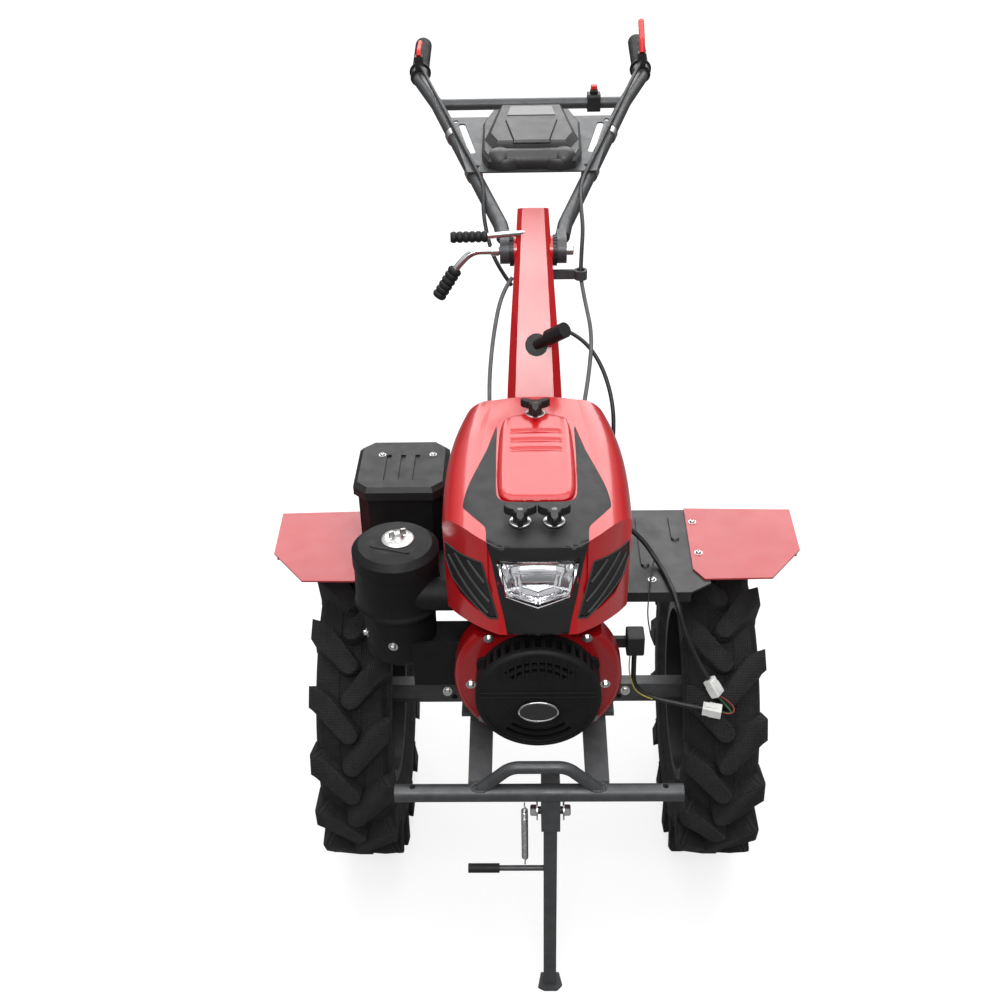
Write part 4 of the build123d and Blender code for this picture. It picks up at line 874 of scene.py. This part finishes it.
def knob_outline():
    """Three rounded wings about a hub, in millimetres."""
    outline = []
    for angle in full_turn(72):
        wing = max(0.0, cos(3 * (angle - pi / 2) + pi)) ** 1.5
        radius = KNOB_HUB_R + KNOB_WING * wing
        outline.append((radius * cos(angle), radius * sin(angle)))
    return outline


def build_knobs():
    caps, collars, holes = [], [], []
    hub = turned([(0, -2), (KNOB_HUB_R, -2), (KNOB_HUB_R, 11), (0, 11)], 32)
    hole = turned([(0, 21.9), (4.2, 21.9), (4.2, 22.3), (3.0, 22.5), (0, 22.1)], 24)
    collar = turned([(10.6, 0.4), (15.5, 0.2), (15.5, 2.6), (14.6, 3.2), (10.6, 3.2)], 36)
    for x, y in KNOB_PLACES:
        lay = Matrix.Translation(at(x, y, hood_ridge(y))) @ SCALED
        caps.append(placed(prism(knob_outline(), 10, 22, 1.6), lay))
        caps.append(placed(hub, lay))
        holes.append(placed(hole, lay))
        collars.append(placed(collar, lay))
    knobs = piece("hand_knobs", merged(caps), "black_plastic")
    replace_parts(knobs, "hood_knobs")
    piece("knob_holes", merged(holes), "plate_black")
    piece("knob_collars", merged(collars), "zinc")


# Thin louvre ribs on the face of the pull starter
def build_starter_ribs():
    face_y, ribs = -385.4, []
    for radius in (84, 79, 50, 44, 38):
        line = []
        for k in range(41):
            angle = radians(200 + 140 * k / 40)
            line.append(at(radius * cos(angle), face_y, CRANK_Z + radius * sin(angle)))
        ribs.append(swept(line, 0.0012, 8))
    for height in (630, 622):
        reach = sqrt(86 ** 2 - (height - CRANK_Z) ** 2)
        ribs.append(swept([at(x, face_y, height) for x in (-reach, 0, reach)], 0.0011, 8))
    for k in range(-5, 6):
        x = 11 * k
        reach = sqrt(84 ** 2 - x * x)
        ribs.append(swept([at(x, face_y, CRANK_Z + z) for z in (40, 55, reach)], 0.0018, 8))
    piece("starter_ribs", merged(ribs), "engine_black")


# Thin loose wires at the plugs and the relay
WIRES = {
    "wire_green": ("wire_green", [(291, -249, 497), (302, -255, 486), (312, -264, 478), (303, -269, 481),
                                  (294.5, -269, 484.5)]),
    "wire_brown": ("wire_brown", [(287, -246, 502), (304, -250, 494), (318, -262, 482), (305, -272, 480),
                                  (294.5, -268, 483)]),
    "wire_yellow": ("wire_yellow", [(146, -249, 596), (143, -256, 572), (147, -258, 545), (158, -256, 512),
                                    (184, -252, 497)]),
    "wire_black": ("cable_skin", [(196, -80, 652), (188, -112, 650), (182, -150, 650), (178, -176, 640),
                                  (176, -192, 612), (182, -204, 588)]),
}


def build_wires():
    for name, (material, points) in WIRES.items():
        route = [at(*point) for point in points]
        wire = spline_curve(name, route, 0.0011)
        wire.data.materials.append(MATERIALS[material])
        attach(wire, "chassis")
        length_of(spline_line(route))


# Hood skins: smooth-edged panels laid on the hood's own surface
HOOD_REAR_Y, HOOD_TOP_Z, HOOD_SLOPE = 20, 902, 0.088
HOOD_CROWN, HOOD_REAR_HALF, HOOD_SPREAD, CROWN_HALF = 6, 68, 24, 62
PANEL_STEP = 1.0
RIM_SPACING = 2.5
SOFT_EDGE, RIM_SUNK, ISLAND_SUNK, LAMP_LINING = 1.5, -2.6, -1.5, -16.0
PANEL_RISE, PANEL_RIM_RISE, NOSE_RISE, NOSE_RIM_RISE, VENT_RISE = 0.5, 0.1, 1.3, 0.9, 0.5
ISLAND_RISE, ISLAND_GROOVES = 3.2, (-80, -104, -128)
NOSE_Y, NOSE_LOW, NOSE_FLAT, NOSE_R, NOSE_LEAN = -378, 732, 56, 394, 23 / 140
CHEEK_X, CHEEK_Y, CHEEK_R = -119.13, -159.24, 277.11
VENT = [(134, 813), (79, 831), (57, 757), (70, 750), (125, 769), (135, 788)]
VENT_RIBS = (-6, 12, 30)


def curve_2d(controls):
    """Smooth line through the plane from a few control points."""
    return [(point.x, point.y) for point in spline_line([Vector((x, y, 0)) for x, y in controls])]


def hood_ridge(y):
    """Height of the hood along its middle."""
    return HOOD_TOP_Z + HOOD_SLOPE * (y - HOOD_REAR_Y)


def hood_top(x, y):
    """Outer height of the hood at a place seen from above, in millimetres."""
    if abs(x) < CROWN_HALF:
        share = (HOOD_REAR_Y - y) / (HOOD_REAR_Y - NOSE_Y)
        half = HOOD_REAR_HALF + HOOD_SPREAD * min(1, 2 * share)
        return hood_ridge(y) - HOOD_CROWN * (x / half) ** 2
    heights = []
    for node, step in (("hood", 0.0), ("hood_panel", PANEL_STEP)):
        hit, place, _, _ = frame["nodes"][node].ray_cast(at(x, y, 2000), Vector((0, 0, -1)))
        if hit:
            heights.append(place.z / MM + step)
    return max(heights)


def hood_front(x, z):
    """Outer distance of the hood's nose at a place seen from the front, in millimetres behind the axle."""
    x = abs(x)
    if x < NOSE_FLAT:
        plan = NOSE_Y + NOSE_R - sqrt(NOSE_R ** 2 - x ** 2)
    else:
        plan = CHEEK_Y - sqrt(CHEEK_R ** 2 - (x - CHEEK_X) ** 2)
    return plan + NOSE_LEAN * (z - NOSE_LOW)


def inside(point, outline):
    odd = False
    for (x0, y0), (x1, y1) in zip(outline, outline[1:] + outline[:1]):
        if (y0 > point[1]) != (y1 > point[1]) and point[0] < (x1 - x0) * (point[1] - y0) / (y1 - y0) + x0:
            odd = not odd
    return odd


def gap_to(point, outline):
    """Distance from a point to the nearest corner of a closely drawn outline."""
    return min(hypot(point[0] - x, point[1] - y) for x, y in outline)


def densely(outline, spacing):
    """Outline with extra points so that none lie further apart than the spacing."""
    points = []
    for (x0, y0), (x1, y1) in zip(outline, outline[1:] + outline[:1]):
        count = max(1, round(hypot(x1 - x0, y1 - y0) / spacing))
        points += [(x0 + (x1 - x0) * k / count, y0 + (y1 - y0) * k / count) for k in range(count)]
    return points


def skin(outline, hole, lay, spacing=5.0, edge=2.0):
    """Sheet over a surface: lay turns a flat place and its distance from the edge into a point."""
    rim = densely(outline, RIM_SPACING)
    inner = densely(hole, RIM_SPACING) if hole else []
    border = rim + inner
    flat = list(border)
    xs, ys = [p[0] for p in rim], [p[1] for p in rim]
    for column in range(int((max(xs) - min(xs)) / spacing) + 1):
        for row in range(int((max(ys) - min(ys)) / spacing) + 1):
            spot = (min(xs) + column * spacing, min(ys) + row * spacing)
            if inside(spot, rim) and gap_to(spot, border) > edge and not (hole and inside(spot, inner)):
                flat.append(spot)
    loops = [(0, len(rim))] + ([(len(rim), len(border))] if hole else [])
    edges = [(k, k + 1 if k + 1 < stop else start) for start, stop in loops for k in range(start, stop)]
    found = delaunay_2d_cdt([Vector(p) for p in flat], edges, [], 0, 1e-4)
    spots = [(p.x, p.y) for p in found[0]]
    faces = []
    for face in found[2]:
        middle = (sum(spots[k][0] for k in face) / 3, sum(spots[k][1] for k in face) / 3)
        if inside(middle, rim) and not (hole and inside(middle, inner)):
            faces.append(list(face))
    points = [lay(*spot, gap_to(spot, border)) for spot in spots]
    sunk = len(points)
    points += [lay(*spot, -1.0) for spot in border]
    nearest = []
    for x, y in border:
        gaps = [hypot(spot[0] - x, spot[1] - y) for spot in spots]
        nearest.append(gaps.index(min(gaps)))
    for start, stop in loops:
        for k in range(start, stop):
            after = k + 1 if k + 1 < stop else start
            faces.append([nearest[k], nearest[after], sunk + after, sunk + k])
    return points, faces


def mirrored_outline(half):
    """Closed outline from its right half, drawn from one end to the other."""
    return half + [(-x, y) for x, y in reversed(half) if x > 0.01]


def panel_halves():
    """Outer and inner edge of the black panel's right half."""
    outer = curve_2d([(60, -56), (68, -96), (90, -166), (104, -216), (108, -250), (106, -258), (90, -282),
                      (77, -300), (73, -308), (72, -322), (72, -337)])
    inner = curve_2d([(60, -56), (60.5, -120), (61, -205), (58, -246), (34, -254), (0, -254)])
    return outer, inner


def build_hood_skins():
    outer, inner = panel_halves()
    front = [(66, -342.8), (56, -351.3), (40, -353.4), (0, -355.4)]
    right = inner[::-1] + outer[1:] + front
    edge = right + [(-x, y) for x, y in reversed(right[1:-1])]

    def lay_panel(x, y, depth):
        rise = PANEL_RISE if depth > SOFT_EDGE else PANEL_RIM_RISE if depth >= 0 else RIM_SUNK
        return at(x, y, hood_top(x, y) + rise)

    shapes = [skin(edge, None, lay_panel)]
    nose_right = [(0, 869), (40, 868), (56, 867.4), (72, 866.5), (64, 840), (56, 798), (48, 759), (44, 734),
                  (0, 733)]
    lamp = [(-59, 848), (59, 848), (46, 790), (0, 773.5), (-46, 790)]
    lamp_edge = densely(lamp, RIM_SPACING)

    def lay_nose(x, z, depth):
        sunk = LAMP_LINING if gap_to((x, z), lamp_edge) < 0.1 else RIM_SUNK
        rise = NOSE_RISE if depth > SOFT_EDGE else NOSE_RIM_RISE if depth >= 0 else sunk
        return at(x, hood_front(x, z) - rise, z)

    shapes.append(skin(mirrored_outline(nose_right), lamp, lay_nose))
    island_right = curve_2d([(0, -26), (30, -28), (54, -44), (58, -120), (58.5, -205), (55, -242),
                             (32, -250.5), (0, -251)])

    def lay_island(x, y, depth):
        ridge = 2.2 * exp(-((abs(x) - 48) / 6) ** 2)
        groove = 0.0
        if abs(x) < 38:
            groove = sum(1.8 * exp(-((y - middle) / 3.4) ** 2) for middle in ISLAND_GROOVES)
        rise = ISLAND_SUNK
        if depth >= 0:
            rise = ISLAND_RISE * min(1.0, depth / 7) ** 0.6 + ridge - groove
        return at(x, y, hood_top(x, y) + rise)

    island = skin(mirrored_outline(island_right), None, lay_island, 3.0, 1.2)
    panel = piece("hood_panel_skin", merged(shapes), "black_plastic", sharp=40)
    piece("hood_island", island, "red_paint", sharp=50)
    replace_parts(panel, "hood_panel")


def build_vents():
    """Cheek grilles with a beaded edge and three slanting ribs; bead and ribs take the lighter grey plastic
    as painted highlights of their lit edges.
    """
    corner = Vector(VENT[2])
    run = (Vector(VENT[0]) - corner).normalized()
    over = Vector((-run.y, run.x))
    edge = densely(VENT, RIM_SPACING)
    sheets, beads = [], []
    for side in (-1, 1):
        def lay_vent(x, z, depth):
            return at(side * x, hood_front(x, z) - (VENT_RISE if depth >= 0 else RIM_SUNK), z)

        sheets.append(skin(VENT, None, lay_vent))
        beads.append(swept([lay_vent(x, z, 0) for x, z in edge + edge[:1]], 0.0014, 8))
        for middle in VENT_RIBS:
            line = []
            for k in range(41):
                spot = corner + run * (3 * k - 10)
                spot += over * (middle - 5 * sin(pi * k / 40))
                if inside(spot, edge) and gap_to(spot, edge) > 4:
                    line.append(lay_vent(spot.x, spot.y, 0))
            beads.append(swept(line, 0.0024, 10))
    piece("vent_grilles", merged(sheets), "black_plastic")
    # Lighter grey bead and ribs: painted highlights of the ribs' lit edges
    piece("vent_ribs", merged(beads), "grey_plastic_painted_sheen")


# Fender plates with a front lip and two pressed beads each
SHEET_LOW, SHEET_TOP = 640, 643
SHEET_EDGE = [(130, -162), (248, -162), (282, -138), (282, 77), (130, 77)]
SHEET_LIP = rectangle(130, 248, -162, -159)


def stadium(x, y, length, width):
    """Rounded slot along Y."""
    straight, radius = (length - width) / 2, width / 2
    arc = [pi * k / 10 for k in range(11)]
    return ([(x + radius * cos(a), y + straight + radius * sin(a)) for a in arc]
            + [(x - radius * cos(a), y - straight - radius * sin(a)) for a in arc])


def build_fender_plates():
    shapes = [prism(SHEET_EDGE, SHEET_LOW, SHEET_TOP, 0.4), prism(SHEET_LIP, SHEET_LOW - 16, SHEET_LOW)]
    for bead in (stadium(180, -20, 150, 14), stadium(237, 18, 76, 14)):
        shapes.append(prism(bead, SHEET_TOP - 0.5, SHEET_TOP + 3.4, 3))
    to_frame = Matrix.Translation((0, AXLE_Y, 0)) @ SCALED
    right = placed(merged(shapes), to_frame)
    left = placed(right, Matrix.Scale(-1, 4, (1, 0, 0)))
    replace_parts(piece("fender_plates", merged([right, left]), "black_paint"), "fenders")


# Console shell in the plane of the handlebar tubes
CONSOLE_Y, CONSOLE_LIFT = 585, 17
CONSOLE_RIGHT = [(74, 98), (92, 44), (92, -66), (80, -98), (52, -108), (30, -104), (20, -94)]


def handle_frame(y, lift):
    """Axes of the handlebar's plane at a distance behind the axle, scaled from millimetres."""
    normal = Vector((0, -PLATE_RISE, 1)).normalized()
    place = at(0, y, PIVOT[2] + PLATE_RISE * (y - PIVOT[1])) + normal * lift * MM
    turn = Matrix((Vector((1, 0, 0)), normal.cross(Vector((1, 0, 0))), normal)).transposed()
    return Matrix.Translation(place) @ turn.to_4x4() @ SCALED


def build_console():
    hump = [(-62, 96), (62, 96), (88, -30), (72, -64), (-72, -64), (-88, -30)]
    tongue = [(-50, 22), (50, 22), (34, -62), (-34, -62)]
    roll = swept([Vector((x, -82, 8)) for x in (-58, -30, 0, 30, 58)], 21, 24)
    knob = turned([(0, 22), (12, 20.5), (20, 15), (24, 6), (24, -8)], 32)
    base = mirrored_outline(CONSOLE_RIGHT)
    shapes = [prism(base, 0, 20, 6), prism(hump, 0, 33, 14), prism(tongue, 30, 36, 4), roll]
    shapes += [placed(knob, Matrix.Translation((side * 58, -82, 8))) for side in (-1, 1)]
    to_frame = handle_frame(CONSOLE_Y, CONSOLE_LIFT)
    shape = placed(merged(shapes), to_frame)
    # The shell's lighter grey is partly painted sheen for its faces lit from above
    shell = piece("console_shell", shape, "grey_plastic_painted_sheen", "handlebar")
    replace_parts(shell, "console_cover")
    plate = prism([(-40, 78), (40, 78), (46, 42), (-46, 42)], 32.6, 34, 0.8)
    piece("bare_plate", placed(plate, to_frame), "plate_black", "handlebar")


def build_small_caps():
    """Wing nut and lid crease of the filter, bolt caps on the handlebar pivot and the switch's red key."""
    disc = turned([(0, 6), (6, 6), (9, 3.4), (23, 2.4), (25, 1), (25, 0)], 40)
    wing = prism([(-14, 5), (-13, 15), (-6, 16), (-4, 9), (4, 9), (6, 16), (13, 15), (14, 5)], -1.4, 1.4, 0.3)
    upright = Matrix.Rotation(radians(25), 4, "Z") @ Matrix.Rotation(pi / 2, 4, "X")
    x, y, _ = middle_of("air_filter_nut")
    to_frame = Matrix.Translation((x, y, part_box("air_filter_nut")[0].z)) @ SCALED
    nut = piece("filter_wing_nut", placed(merged([disc, placed(wing, upright)]), to_frame), "zinc")
    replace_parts(nut, "air_filter_nut")
    lid_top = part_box("air_filter_lid")[1].z / MM
    bends = ((-36, -12), (-32, -16), (20, -32), (24, -30))
    crease = [at(FILTER_X + x, FILTER_Y + y, lid_top + 0.2) for x, y in bends]
    piece("lid_crease", swept(crease, 0.0014, 8), "black_plastic")
    caps = []
    for side in (-1, 1):
        start = at(side * 400, PIVOT[1], PIVOT[2])
        _, place, _, _ = frame["nodes"]["column"].ray_cast(start, Vector((-side, 0, 0)))
        cap = turned([(7.3, -12), (8.6, -12), (8.6, 0.6), (7, 1.8), (0, 1.8)], 32)
        caps.append(placed(cap, facing(place, (side, 0, 0)) @ SCALED))
    piece("pivot_caps", merged(caps), "zinc")
    x, y, _ = middle_of("stop_switch")
    key = prism(rectangle(-6, 6, -7, 7), -1, 6, 1.6)
    to_frame = Matrix.Translation((x, y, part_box("stop_switch")[1].z)) @ SCALED
    piece("switch_key", placed(key, to_frame), "lever_red", "handlebar")


paint_nodes()
build_tyres()
build_spring()
build_leads()
build_cables()
build_bolts()
build_plate()
build_welds()
build_grips()
build_lamp()
build_vents()
build_hood_skins()
build_fender_plates()
build_console()
build_small_caps()
build_knobs()
build_starter_ribs()
build_wires()
build_stage()
build_world()
build_light()
build_camera()
bpy.context.scene.view_settings.view_transform = "Standard"
